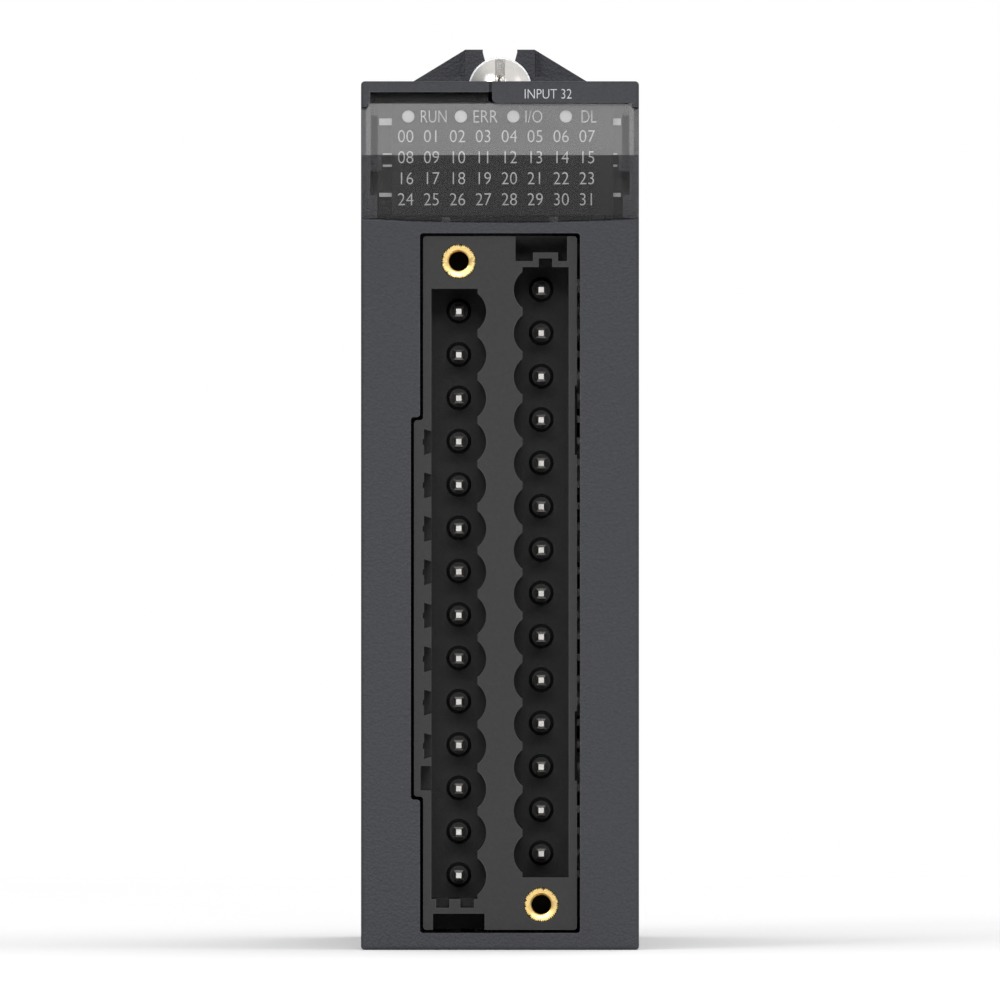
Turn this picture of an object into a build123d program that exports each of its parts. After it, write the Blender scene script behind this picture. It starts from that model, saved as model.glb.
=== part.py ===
from build123d import *
import os
from math import atan2, cos, radians, tan

# Input/output module of a rack-mounted programmable controller.
# Frame: origin at the middle of the base, +X to the right as seen from the front,
# +Y from the front face towards the backplane, +Z up. Millimetres.

os.makedirs("parts", exist_ok=True)

# Overall sizes that are set directly. The height follows from the connector and display band.
width = 32.0
body_depth = 86.0  # front face to the rear mounting face
rear_reach = 6.0  # screw tip, hooks and plug, past the mounting face
tab_rise = 3.7  # screw tab above the cover
base_rail = 1.95  # cover below the connector opening
display_band = 17.49  # cover above the connector opening

# Clearances
header_gap = 0.36  # cover opening round the connector
window_gap = 0.08  # display window in its seat
seam_gap = 0.15  # rear case behind the cover
slip_gap = 0.1  # boards, tongues, shafts and pegs beside what they slide in
catch_gap = 0.3  # catches in their windows

# Terminal header
pin_count = 14
pin_pitch = 5.0
column_x = 4.75  # each column of pins from the middle
end_margin = 6.17  # end pin to the end of the header
insert_offset = 5.78  # end pin to the threaded insert
header_half = 8.85
header_depth = 14.4
header_setback = 0.6  # header face behind the cover face
pocket_depth = 12.0
pocket_end = 2.63  # end pin to the end of its pocket
pocket_wall = 0.95  # outer wall beside a pocket
lobe_tip = 3.17  # pin to the deepest point of its scallop
lobe_valley = 2.17  # pin to the ridge between scallops
lobe_chord = 4.14
bulge_width = 1.05
bulge_first_pin = 2  # the bulge runs from this pin of the left column
bulge_last_pin = 10
bulge_ends = (0.82, 2.5)  # past those pins
key_notch_depth = 1.0
key_notch_length = 9.0
low_key_notches = ((-7.36, -5.83), (-4.57, -3.01))
high_key_notch = (4.47, 6.0)
recess_reach = 2.97  # end recess, each side of the column
recess_wall = 0.68
recess_length = 9.0
code_slot_height = 2.98
code_slot_depth = 0.85
code_slot_length = 6.0
code_slot_taper = 0.3  # narrower at the mouth, above and below
code_slot_mouth = 0.2  # mouth inside the pocket's wall
code_nub = (0.66, 0.15)  # relief behind each slot, height and depth
low_code_slot = (1.3, 2.8, 0.4)  # above its pin, height, and depth past the others
wall_step = (8.0, 0.25)  # shallow step in the right wall, length and depth
wall_step_pins = (2.5, 10)
key_overlap = 0.5
foot_inset = 1.0  # foot to the end of the header
foot_height = 4.0  # feet that hold the header to the board
foot_length = 6.0
foot_start_x = 4.5
foot_peg_r = 0.9

# Contacts and threaded inserts
pin_size = 1.15
pin_tip_taper = 0.27
pin_tip_depth = 5.0  # pin tip below the header face
collar_base_r = 1.45
collar_top_r = 1.05
collar_height = 2.0
lead_size = 0.8
lead_back = 1.6  # lead centre behind the header
lead_tail = 0.6  # lead end past the board
insert_r = 2.0
insert_bore_r = 1.25
insert_length = 8.0
insert_mouth = 0.35

# Front cover
cover_wall = 1.6
cover_front = 1.8
cover_depth = 18.0
cover_edge = 0.45
crown_angle = 8.0  # the upper face leans back, degrees
crown_height = 8.5  # leaning part, below the top
roof_depth = 12.0
roof_drop = 5.0
catch_levels = (0.24, 0.68)  # along the case height
catch_size = (2.0, 6.0)  # along Y and Z
catch_setback = 3.6  # catch behind the tongue's tip, from the cover's rear edge

# Display, with heights measured down from the top of the cover
window_wall = 1.2
window_side = 0.7  # cover's corner posts beside the window's top
window_side_radius = 0.6
window_low_mid = 1.24  # lower edge above the connector opening, at the middle
window_low_side = 1.72  # and at the sides
wing_top = 3.04
wing_inset = 0.05
bevel_low = 2.58
bevel_top = 0.76
bevel_depth = 1.27
bevel_past = 1.2  # the skin runs this share of the bevel, past the outline that trims it
ledge_height = 0.5
nameplate_left = -0.9
nameplate_low = 2.49
nameplate_side_gap = 0.45
nameplate_corner = 0.55
nameplate_groove = (0.4, 0.6)  # width and depth, beside the nameplate
display_side_wall = 1.05  # cover beside the display
display_recess = 10.0
flange_top = 13.1
flange_width = 0.8
flange_y = (1.4, 8.5)  # behind the cover face
hook_z_range = (10.34, 8.6)
hook_y = (2.5, 4.8)
hook_reach = 1.28
leg_z_range = (12.5, 3.93)
leg_thickness = 0.8
leg_length = 6.0
sill_tabs = ((-6.7, -5.71), (5.75, 6.7))
sill_tab_rise = 0.6
sill_tab_sink = 0.5  # tab's foot below the window's lower edge
mask_setback = 2.7
mask_thickness = 0.8
mask_x = (-12.45, 13.03)
mask_z_range = (15.4, 2.4)
guide_gap = 0.05
guide_thickness = 1.2
guide_inset = 0.1
guide_lugs = ((5.07, 4.29, 2.08), (8.47, 8.31, 2.5), (9.85, 9.6, 2.5), (13.31, 12.86, 2.1))
shield_depth = 4.2
shield_cell = (2.0, 1.75)
shield_ear = (1.8, 2.8)  # behind the shield's front
shield_peg_inset = 1.65  # peg to the side of the display opening
led_board_side = 0.5
led_board_gap = 0.1
led_board_thickness = 1.0
led_size = (1.6, 0.6, 0.8)
legend_pitch = (2.984, 2.42)
legend_first_x = -10.86  # middle of the first channel's number
legend_first_row = 6.33
status_row = 4.06
status_first_x = -10.56
status_pitch = 6.05
status_count = 4
pip_r = 0.67
row_count = 4
column_count = 8

# Rear case
case_inset = 0.3
case_wall = 1.6
case_rear_wall = 2.0
case_edge = 0.6
case_drop = 0.3  # case top below the cover's rear edge
tongue_thickness = 1.2
tongue_reach = 5.0
tongue_root = 6.0
tongue_ends = 5.0
rail_height = 2.9
rail_width = 3.8
rail_grip = 1.0
vent_width = 1.6
vent_length = 12.0
vent_pitch = 3.2
vent_row_pitch = 15.0
vent_margin = (1.5, 1.0, 2.0)  # from the side wall, the board's rail and the tongue, and the tab
panel_recess = 0.25
panel_margin = 8.0
hook_foot_width = 4.0
hook_foot_x = 8.0
hook_foot_z = (4.0, 8.0, 11.0)  # finger tip, underside and top of the arm
hook_finger = 2.6
hook_lead_in = (0.8, 1.2)  # chamfer below the finger's tip, along Y and Z
hook_crown = 1.0  # chamfer above the finger

# Screw tab, captive screw and washer
screw_drop = 4.6  # screw axis below the tab's top
tab_depth = 12.0
tab_web = 3.0
tab_foot = 1.0  # ramp's foot inside the case's side
tab_foot_drop = 6.5
tab_flank_setback = 1.5
tab_skin = 1.6
tab_shelf = 0.45  # shelf above the cover's top
boss_half = 4.04
boss_step = 0.33
throat_neck = 0.85  # narrowest part of the slot, as a share of the shank
neck_height = 1.25  # neck's top above the screw's axis, as a share of the shank
channel_gap = 0.4  # channel round the thread
throat_shoulder = (1.66, 1.6)  # half-width, and below the tab's top
throat_mouth = (2.0, 0.34)
shank_r = 1.55
thread_r = 2.0
thread_length = 6.0
thread_chamfer = 0.6
head_r = 3.5
head_height = 2.8
head_rim = 1.3
dome_point = (0.3, 0.6)  # point on the dome, as shares of its rise and of the head's radius
washer_r = 3.7
washer_thickness = 0.8
drive_slot = (1.13, 2.0)  # width and depth, out through the head's rim
drive_cross = (1.0, 3.2, 2.3)  # width, length and depth
washer_gap = 0.1
head_gap = 0.05

# Main board and what stands on it
board_thickness = 1.6
board_side = 2.1  # board to the case's side wall
board_edge_gap = 0.4
board_rear_space = 7.0
plug_size = (8.0, 17.5, 34.0)
plug_wall = 1.2
plug_low = 44.0
plug_cavity = 9.0
plug_pin_count = 12
plug_pitch = 2.54
plug_pin_size = 0.64
plug_pin_setback = 2.0
plug_gap = 0.4
plug_setback = 0.5  # plug short of the module's rear limit
plug_corner = 0.6
link_pin_count = 5
link_pitch = 1.27
link_pin_size = 0.5
link_size = (3.4, 2.5)
bus_chip = (14.0, 1.6, 14.0)
controller_chip = (10.0, 1.4, 10.0)
converter_chip = (7.5, 2.4, 10.3)
coupler_size = (6.5, 3.4, 4.6)
coupler_count = 8
transformer_size = (14.0, 10.5, 13.0)
inductor_size = (7.0, 4.2, 7.0)
capacitor_r = 4.0
capacitor_length = 10.5
capacitor_edge = 0.4
resistor_size = (2.0, 0.5, 1.25)
crystal_size = (4.6, 3.6, 11.0)
crystal_corner = 2.07
chip_lead = (0.2, 0.3, 1.0)  # thickness, width and reach past the body
chip_standoff = (0.15, 0.1)  # body and leads off the board
chip_lead_share = 0.8  # of the side that the leads fill
winding = (2.0, 2.0, 0.7)  # core's cheeks, depth of the winding window and its share of the core
inductor_corner = 1.2

# Places on the main board. Its parts stand in columns, with equal gaps between the headers' leads
# and the plug's, so only their heights are set here.
transformer_below_plug = 13.0
converters_below_middle = (18.0, 32.0)
crystal_above_middle = 14.0
inductor_from_top = 6.0
inductor_spread = 5.0
capacitors_from_rear = (10.0, 22.0)
capacitor_from_base = 8.0

# Ground strip and side label
ground_strip = 0.4
ground_foot = 8.0
strip_z = (22.0, 27.0)
spring_x = (-8.0, -2.0)
spring_z = (15.0, 33.0)
spring_bow = 1.6
label_thickness = 0.2
label_margin = (6.0, 10.0)  # label inside its panel, along Y and Z

# Places that follow from the sizes above
half_width = width / 2
front_y = -(body_depth + rear_reach) / 2
rear_y = front_y + body_depth
rear_limit_y = rear_y + rear_reach
pin_span = (pin_count - 1) * pin_pitch
header_low = base_rail + header_gap
left_first_z = header_low + end_margin
right_first_z = left_first_z + pin_pitch / 2
header_top = right_first_z + pin_span + end_margin
opening_top = header_top + header_gap
front_height = opening_top + display_band
overall_height = front_height + tab_rise
left_pins = [left_first_z + index * pin_pitch for index in range(pin_count)]
right_pins = [right_first_z + index * pin_pitch for index in range(pin_count)]
header_face_y = front_y + header_setback
header_back_y = header_face_y + header_depth
pocket_floor_y = header_face_y + pocket_depth
lead_y = header_back_y + lead_back

crown_z = front_height - crown_height
lean = tan(radians(crown_angle))
cover_back_y = front_y + cover_depth
cover_back_z = front_height - roof_drop
roof_back_y = front_y + roof_depth
display_half = half_width - display_side_wall

case_half = half_width - case_inset
case_inner = case_half - case_wall
case_front_y = cover_back_y + seam_gap
case_top = cover_back_z - case_drop
board_right = case_inner - board_side
board_left = board_right - board_thickness
board_front_y = header_back_y + board_edge_gap
board_back_y = rear_y - case_rear_wall - board_rear_space
board_low = case_wall + rail_height - rail_grip + slip_gap
board_top = case_top - case_wall - rail_height + rail_grip - slip_gap
board_mid_x = (board_left + board_right) / 2
screw_z = overall_height - screw_drop
tab_front_y = rear_y - tab_depth


def below_top(drop):
    """A height given by its distance below the top of the cover."""
    return front_height - drop


def face_y(z):
    """Depth of the cover's outer face at a height: upright, then leaning back."""
    return front_y + max(0.0, z - crown_z) * lean


def around(middle, size):
    """The low and high ends of a length about its middle."""
    return middle - size / 2, middle + size / 2


def block(x, y, z, mode=Mode.ADD):
    """A box from its low and high ends along each axis."""
    with Locations(tuple((low + high) / 2 for low, high in (x, y, z))):
        Box(x[1] - x[0], y[1] - y[0], z[1] - z[0], mode=mode)


def slab(outline, y, mode=Mode.ADD):
    """A plate with an (x, z) outline between two depths."""
    with BuildSketch(Plane.XZ.offset(-y[0])) as face:
        with BuildLine():
            Polyline(*outline, close=True)
        make_face()
    extrude(face.sketch, amount=y[0] - y[1], mode=mode)


def across(outline, x, mode=Mode.ADD):
    """A bar with a (y, z) outline between two places across the width."""
    with BuildSketch(Plane.YZ.offset(x[0])) as face:
        with BuildLine():
            Polyline(*outline, close=True)
        make_face()
    extrude(face.sketch, amount=x[1] - x[0], mode=mode)


def peg(x, z, radius, y, mode=Mode.ADD):
    """A round bar along Y between two depths."""
    with Locations((x, (y[0] + y[1]) / 2, z)):
        Cylinder(radius, y[1] - y[0], rotation=(90, 0, 0), mode=mode)


def side_peg(y, z, radius, x, mode=Mode.ADD):
    """A round bar along X between two places across the width."""
    with Locations(((x[0] + x[1]) / 2, y, z)):
        Cylinder(radius, x[1] - x[0], rotation=(0, 90, 0), mode=mode)


def header_outline(y, gap, corner):
    """The header seen from the front, grown by a gap, with rounded corners."""
    bulge_z = (left_pins[bulge_first_pin] - bulge_ends[0], left_pins[bulge_last_pin] + bulge_ends[1])
    with BuildSketch(Plane.XZ.offset(-y)) as outline:
        with Locations((0, (header_low + header_top) / 2)):
            Rectangle(2 * (header_half + gap), header_top - header_low + 2 * gap)
        with Locations((-header_half - bulge_width / 2, sum(bulge_z) / 2)):
            Rectangle(bulge_width + 2 * gap, bulge_z[1] - bulge_z[0] + 2 * gap)
        fillet(outline.vertices(), corner)
    return outline.sketch


def window_outline(wide, narrow, gap, plate_left, plate_low):
    """The window seen from the front: an arc below, wings at the sides, a notch for the nameplate."""
    side_low = opening_top + window_low_side + gap
    mid_low = opening_top + window_low_mid + gap
    shoulder = below_top(wing_top) - gap
    top = below_top(bevel_top) - gap
    with BuildSketch(Plane.XZ.offset(-front_y)) as outline:
        with BuildLine():
            ThreePointArc((-wide, side_low), (0, mid_low), (wide, side_low))
            Polyline((wide, side_low), (wide, shoulder), (narrow, shoulder), (narrow, plate_low))
            plate_corner = [(narrow, plate_low), (plate_left, plate_low), (plate_left, top)]
            FilletPolyline(*plate_corner, radius=nameplate_corner)
            left_edge = [(-narrow, top), (-narrow, shoulder), (-wide, shoulder), (-wide, side_low)]
            Polyline((plate_left, top), *left_edge)
        make_face()
    return outline.sketch


def window_skin(x_half, depth):
    """The window's side profile: upright face, leaning face and bevel, down to a depth behind them."""
    bevel_z = below_top(bevel_low)
    bevel_run = (bevel_past * bevel_depth, bevel_past * (bevel_low - bevel_top))
    front = [
        (front_y, opening_top),
        (front_y, crown_z),
        (face_y(bevel_z), bevel_z),
        (face_y(bevel_z) + bevel_run[0], bevel_z + bevel_run[1]),
    ]
    back = [(y + depth, z) for y, z in reversed(front)]
    across(front + back, (-x_half, x_half))


def pocket_outline(side, pins):
    """A pocket at the header's face: straight outer wall and a scallop round each pin."""
    lobe_rise = lobe_tip - lobe_valley
    lobe_r = (lobe_chord**2 / 4 + lobe_rise**2) / (2 * lobe_rise)
    outer = header_half - pocket_wall
    valley = column_x - lobe_valley
    low = pins[0] - pocket_end
    high = pins[-1] + pocket_end
    with BuildSketch(Plane.XZ.offset(-header_face_y)) as outline:
        with Locations((side * (outer + valley) / 2, (low + high) / 2)):
            Rectangle(outer - valley, high - low)
        with Locations([(side * (column_x - lobe_tip + lobe_r), z) for z in pins]):
            Circle(lobe_r)
        with Locations((side * header_half / 2, (low + high) / 2)):
            Rectangle(header_half, high - low, mode=Mode.INTERSECT)
        with Locations((side * (outer - header_half / 2), (low + high) / 2)):
            Rectangle(header_half, high - low, mode=Mode.INTERSECT)
    return outline.sketch


# Places shared by the cover, window and display pieces
hook_z = (below_top(hook_z_range[0]), below_top(hook_z_range[1]))
leg_x = (display_half - slip_gap - leg_thickness, display_half - slip_gap)
leg_z = (below_top(leg_z_range[0]), below_top(leg_z_range[1]))
mask_z = (below_top(mask_z_range[0]), below_top(mask_z_range[1]))
mask_y = (front_y + mask_setback, front_y + mask_setback + mask_thickness)
guide_y = (mask_y[1] + guide_gap, mask_y[1] + guide_gap + guide_thickness)
shield_y = (guide_y[1] + guide_gap, guide_y[1] + guide_gap + shield_depth)
led_board_y = (shield_y[1] + led_board_gap, shield_y[1] + led_board_gap + led_board_thickness)
led_board_z = (mask_z[0] + guide_inset, mask_z[1] - guide_inset)
inner_x = (mask_x[0] + guide_inset, mask_x[1] - guide_inset)
ear_z = (below_top(flange_top), leg_z[1])
ear_peg_x = display_half - shield_peg_inset
ear_peg_z = (ear_z[0] + ear_z[1]) / 2
catch_y = (cover_back_y - catch_setback, cover_back_y - catch_setback + catch_size[0])
catch_heights = [share * case_top for share in catch_levels]
status_lights = [
    (status_first_x + index * status_pitch, below_top(status_row)) for index in range(status_count)
]
channel_lights = [
    (legend_first_x + column * legend_pitch[0], below_top(legend_first_row + row * legend_pitch[1]))
    for row in range(row_count)
    for column in range(column_count)
]

# The seat that the display window drops into: a skin off the cover's face
with BuildPart() as window_seat:
    window_skin(half_width + 1, window_wall + window_gap)
    seat_face = window_outline(
        half_width + 1, half_width - window_side, -window_gap, nameplate_left, below_top(nameplate_low)
    )
    extrude(seat_face, amount=-display_recess, both=True, mode=Mode.INTERSECT)

# Front cover: a moulded shell, open at the back, that carries the bezel face. Its upper face leans
# back, and it is cut for the connector and for the display window, which seats flush in it.
with BuildPart() as front_cover:
    across(
        [
            (cover_back_y, 0),
            (front_y, 0),
            (front_y, crown_z),
            (face_y(front_height), front_height),
            (roof_back_y, front_height),
            (cover_back_y, cover_back_z),
        ],
        (-half_width, half_width),
    )
    rear_edges = front_cover.edges().group_by(Axis.Y)[-1]
    fillet(front_cover.edges() - rear_edges, cover_edge)
    # Hollow, with the roof's slope the same inside as outside
    roof_slope = atan2(roof_drop, cover_depth - roof_depth)
    slope_wall = cover_wall / cos(roof_slope)
    inner_roof_z = front_height - cover_wall
    inner_roof_y = roof_back_y - (slope_wall - cover_wall) / tan(roof_slope)
    across(
        [
            (cover_back_y, cover_wall),
            (front_y + cover_front, cover_wall),
            (front_y + cover_front, crown_z),
            (face_y(inner_roof_z) + cover_front, inner_roof_z),
            (inner_roof_y, inner_roof_z),
            (cover_back_y, cover_back_z - slope_wall),
        ],
        (cover_wall - half_width, half_width - cover_wall),
        mode=Mode.SUBTRACT,
    )
    # Connector opening
    extrude(header_outline(front_y, header_gap, header_gap), amount=-cover_front, mode=Mode.SUBTRACT)
    # Display opening, inside the side walls and below the roof's ledge
    display_top = below_top(bevel_top) - ledge_height
    with BuildSketch(Plane.XZ.offset(-front_y)) as display_face:
        add(window_outline(half_width, half_width - window_side, 0, nameplate_left, below_top(nameplate_low)))
        with Locations((0, (opening_top + display_top) / 2)):
            Rectangle(2 * display_half, display_top - opening_top, mode=Mode.INTERSECT)
    extrude(display_face.sketch, amount=-display_recess, mode=Mode.SUBTRACT)
    add(window_seat.part, mode=Mode.SUBTRACT)
    # Groove between the nameplate and the rail over the window
    groove_x = (nameplate_left - nameplate_groove[0], nameplate_left)
    groove_y = (front_y - 1, face_y(front_height) + nameplate_groove[1])
    block(groove_x, groove_y, (display_top, front_height + 1), mode=Mode.SUBTRACT)
    for side in (-1, 1):
        wall_x = side * (display_half + display_side_wall / 2)
        # Flange beside the mask, and the block that the window's leg hooks over
        for reach, y, z in (
            (flange_width, flange_y, (opening_top + window_low_side, below_top(flange_top))),
            (hook_reach, hook_y, hook_z),
        ):
            x = sorted((side * (display_half - reach), wall_x))
            block(x, (front_y + y[0], front_y + y[1]), z)
        # Windows for the case's catches
        for height in catch_heights:
            x = sorted((side * (half_width - 2 * cover_wall), side * (half_width + 1)))
            y = (catch_y[0] - catch_gap, catch_y[1] + catch_gap)
            block(x, y, around(height, catch_size[1] + 2 * catch_gap), mode=Mode.SUBTRACT)
    # Tabs on the sill behind the window's lower edge
    for x in sill_tabs:
        y = (front_y + window_wall + 2 * window_gap, front_y + mask_setback - slip_gap)
        block(x, y, (opening_top + sill_tab_sink, opening_top + window_low_mid + sill_tab_rise))
front_cover.part.label = "front_cover"
export_step(front_cover.part, "parts/front_cover.step")

# Display window: a clear moulded cap with two front faces and a bevel, held by two hooked legs
with BuildPart() as display_window:
    window_skin(half_width - wing_inset, window_wall)
    window_face = window_outline(
        half_width - wing_inset,
        half_width - window_side - window_gap,
        window_gap,
        nameplate_left - nameplate_side_gap,
        below_top(nameplate_low) - window_gap,
    )
    extrude(window_face, amount=-display_recess, both=True, mode=Mode.INTERSECT)
    for side in (Axis.X, -Axis.X):
        wing_edges = display_window.edges().filter_by(lambda edge: edge.length > wing_top)
        wing_edges = wing_edges.group_by(side)[-1].filter_by(lambda edge: edge.center().Y < front_y + 1)
        fillet(wing_edges, window_side_radius)
    for side in (-1, 1):
        x = sorted((side * leg_x[0], side * leg_x[1]))
        block(x, (front_y + window_wall - slip_gap, front_y + leg_length), leg_z)
        slot_y = (front_y + hook_y[0] - slip_gap, front_y + hook_y[1] + slip_gap)
        slot_z = (hook_z[0] - slip_gap, hook_z[1] + slip_gap)
        block(x, slot_y, slot_z, mode=Mode.SUBTRACT)
display_window.part.label = "display_window"
export_step(display_window.part, "parts/display_window.step")

# Display mask: a matt plate behind the window, with a round hole for each status light
with BuildPart() as display_mask:
    block(mask_x, mask_y, mask_z)
    for x, z in status_lights:
        peg(x, z, pip_r + guide_gap, mask_y, mode=Mode.SUBTRACT)
display_mask.part.label = "display_mask"
export_step(display_mask.part, "parts/display_mask.step")

# Light guide: a clear plate with a round pip in each status hole and locating lugs at both sides
with BuildPart() as light_guide:
    block(inner_x, guide_y, led_board_z)
    for x, z in status_lights:
        peg(x, z, pip_r, (mask_y[0], guide_y[0]))
    for low, high, inset in guide_lugs:
        reach_x = half_width - inset
        block((-reach_x, reach_x), guide_y, (below_top(low), below_top(high)))
light_guide.part.label = "light_guide"
export_step(light_guide.part, "parts/light_guide.step")

# Light shield: a black grid that keeps each lamp's light to its own cell, with an ear at each side
with BuildPart() as light_shield:
    block(inner_x, shield_y, led_board_z)
    with Locations([(x, (shield_y[0] + shield_y[1]) / 2, z) for x, z in channel_lights]):
        Box(shield_cell[0], shield_depth, shield_cell[1], mode=Mode.SUBTRACT)
    for x, z in status_lights:
        peg(x, z, shield_cell[1] / 2, shield_y, mode=Mode.SUBTRACT)
    for side in (-1, 1):
        ear_x = sorted((side * (display_half - slip_gap), side * abs(inner_x[0])))
        block(ear_x, (shield_y[0] + shield_ear[0], shield_y[0] + shield_ear[1]), ear_z)
        peg(side * ear_peg_x, ear_peg_z, foot_peg_r - slip_gap, (shield_y[0] + shield_ear[1], led_board_y[1]))
light_shield.part.label = "light_shield"
export_step(light_shield.part, "parts/light_shield.step")

# LED board: a small circuit board across the display, with holes for the shield's pegs and link pins
link_x = board_left - slip_gap - link_size[0] / 2
link_y = led_board_y[1] + link_size[1] / 2
link_middle_z = (led_board_z[0] + board_top) / 2
link_pin_z = [
    link_middle_z + (index - (link_pin_count - 1) / 2) * link_pitch for index in range(link_pin_count)
]
with BuildPart() as led_board:
    led_board_half = display_half - slip_gap - led_board_side
    block((-led_board_half, led_board_half), led_board_y, led_board_z)
    for side in (-1, 1):
        peg(side * ear_peg_x, ear_peg_z, foot_peg_r, led_board_y, mode=Mode.SUBTRACT)
    for z in link_pin_z:
        peg(link_x, z, link_pin_size, led_board_y, mode=Mode.SUBTRACT)
led_board.part.label = "led_board"
export_step(led_board.part, "parts/led_board.step")

# Status lamps and channel lamps: surface-mounted LEDs on the face of their board
led_mid_y = led_board_y[0] - led_size[1] / 2
with BuildPart() as status_leds:
    with Locations([(x, led_mid_y, z) for x, z in status_lights]):
        Box(led_size[2], led_size[1], led_size[2])
status_leds.part.label = "status_leds"
export_step(status_leds.part, "parts/status_leds.step")

with BuildPart() as channel_leds:
    with Locations([(x, led_mid_y, z) for x, z in channel_lights]):
        Box(*led_size)
channel_leds.part.label = "channel_leds"
export_step(channel_leds.part, "parts/channel_leds.step")

# Board link: the moulded block and bent pins that join the LED board to the main board
with BuildPart() as board_link:
    link_z = around(link_middle_z, link_pin_count * link_pitch)
    block(around(link_x, link_size[0]), around(link_y, link_size[1]), link_z)
    with Locations([(link_x, link_y, z) for z in link_pin_z]):
        Box(link_size[0], link_pin_size, link_pin_size, mode=Mode.SUBTRACT)
        Box(link_pin_size, link_size[1], link_pin_size, mode=Mode.SUBTRACT)
board_link.part.label = "board_link"
export_step(board_link.part, "parts/board_link.step")

with BuildPart() as link_pins:
    for z in link_pin_z:
        pin_z = around(z, link_pin_size)
        block(around(link_x, link_pin_size), (led_board_y[0], link_y + link_pin_size / 2), pin_z)
        block((link_x, board_right + lead_tail), around(link_y, link_pin_size), pin_z)
link_pins.part.label = "link_pins"
export_step(link_pins.part, "parts/link_pins.step")

# Terminal header: a moulded block with two rows of pins in scalloped pockets. A collar stands round
# each pin, slots in the left wall take coding pieces, and two feet behind hold it to the main board.
foot_z = (
    (header_low + foot_inset, header_low + foot_inset + foot_height),
    (header_top - foot_inset - foot_height, header_top - foot_inset),
)
foot_peg_y = header_back_y + foot_length / 2 + board_edge_gap
foot_peg_z = [sum(span) / 2 for span in foot_z]
with BuildPart() as terminal_header:
    extrude(header_outline(header_face_y, 0, header_gap), amount=-header_depth)
    for side, pins in ((-1, left_pins), (1, right_pins)):
        pocket = pocket_outline(side, pins)
        extrude(pocket, amount=-pocket_depth, mode=Mode.SUBTRACT)
        collar_y = pocket_floor_y - collar_height / 2
        with Locations([(side * column_x, collar_y, z) for z in pins]):
            Cone(collar_base_r, collar_top_r, collar_height, rotation=(90, 0, 0))
        pin_hole_y = (pocket_floor_y + header_back_y - collar_height) / 2
        with Locations([(side * column_x, pin_hole_y, z) for z in pins]):
            Box(pin_size, header_back_y - pocket_floor_y + collar_height, pin_size, mode=Mode.SUBTRACT)
    # Key notches at the ends of the pockets, and the recesses past them
    key_y = (header_face_y, header_face_y + key_notch_length)
    recess_y = (header_face_y, header_face_y + recess_length)
    low_end = left_pins[0] - pocket_end
    high_end = right_pins[-1] + pocket_end
    low_recess_top = low_end - key_notch_depth - recess_wall
    bridge_top = high_end + key_notch_depth + recess_wall
    recess_x = around(column_x, 2 * recess_reach)
    block((-recess_x[1], -recess_x[0]), recess_y, (header_low, low_recess_top), mode=Mode.SUBTRACT)
    block(recess_x, recess_y, (high_end + recess_wall, header_top), mode=Mode.SUBTRACT)
    bridge_x = (high_key_notch[0] - recess_wall, high_key_notch[1] + recess_wall)
    block(bridge_x, recess_y, (high_end + recess_wall / 2, bridge_top))
    for x in low_key_notches:
        block(x, key_y, (low_end - key_notch_depth, low_end + key_overlap), mode=Mode.SUBTRACT)
    block(high_key_notch, key_y, (high_end - key_overlap, high_end + key_notch_depth), mode=Mode.SUBTRACT)
    # Coding slots beside the left pocket: dovetail-ended, with a nub, and one larger at the low end
    slot_mouth_x = -(header_half - pocket_wall) + code_slot_mouth
    slot_back_x = -(header_half - pocket_wall) - code_slot_depth
    slot_y = (header_face_y, header_face_y + code_slot_length)
    for z in left_pins[bulge_first_pin + 1 : bulge_last_pin + 1]:
        back_half = code_slot_height / 2
        mouth_half = back_half - code_slot_taper
        slab(
            [
                (slot_mouth_x, z - mouth_half),
                (slot_back_x, z - back_half),
                (slot_back_x, z + back_half),
                (slot_mouth_x, z + mouth_half),
            ],
            slot_y,
            mode=Mode.SUBTRACT,
        )
        nub_x = (slot_back_x - code_nub[1], slot_mouth_x)
        block(nub_x, slot_y, around(z, code_nub[0]), mode=Mode.SUBTRACT)
    code_z = around(left_pins[bulge_first_pin] + low_code_slot[0], low_code_slot[1])
    block((slot_back_x - low_code_slot[2], slot_mouth_x), slot_y, code_z, mode=Mode.SUBTRACT)
    # Shallow steps in the right wall
    for pins_up in wall_step_pins:
        step_z = around(right_pins[0] + pins_up * pin_pitch, wall_step[0])
        block((header_half - wall_step[1], header_half + 1), slot_y, step_z, mode=Mode.SUBTRACT)
    # Holes for the threaded inserts
    insert_y = (header_face_y, header_face_y + insert_length)
    peg(-column_x, left_pins[-1] + insert_offset, insert_r, insert_y, mode=Mode.SUBTRACT)
    peg(column_x, right_pins[0] - insert_offset, insert_r, insert_y, mode=Mode.SUBTRACT)
    # Feet against the board, each with a peg through it
    for z in foot_z:
        block((foot_start_x, board_left), (header_back_y - 0.5, header_back_y + foot_length), z)
        side_peg(foot_peg_y, sum(z) / 2, foot_peg_r, (board_left - 1, board_right))
terminal_header.part.label = "terminal_header"
export_step(terminal_header.part, "parts/terminal_header.step")


def contact(x, z):
    """One terminal contact: a square pin, and a thinner lead bent sideways through the board."""
    block(around(x, pin_size), (header_face_y + pin_tip_depth, header_back_y), around(z, pin_size))
    block(around(x, lead_size), (header_back_y, lead_y + lead_size / 2), around(z, lead_size))
    block((x, board_right + lead_tail), around(lead_y, lead_size), around(z, lead_size))


# Contacts, one group for each column
with BuildPart() as contacts_left:
    for z in left_pins:
        contact(-column_x, z)
    chamfer(contacts_left.faces().group_by(Axis.Y)[0].edges(), pin_tip_taper)
contacts_left.part.label = "contacts_left"
export_step(contacts_left.part, "parts/contacts_left.step")

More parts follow.
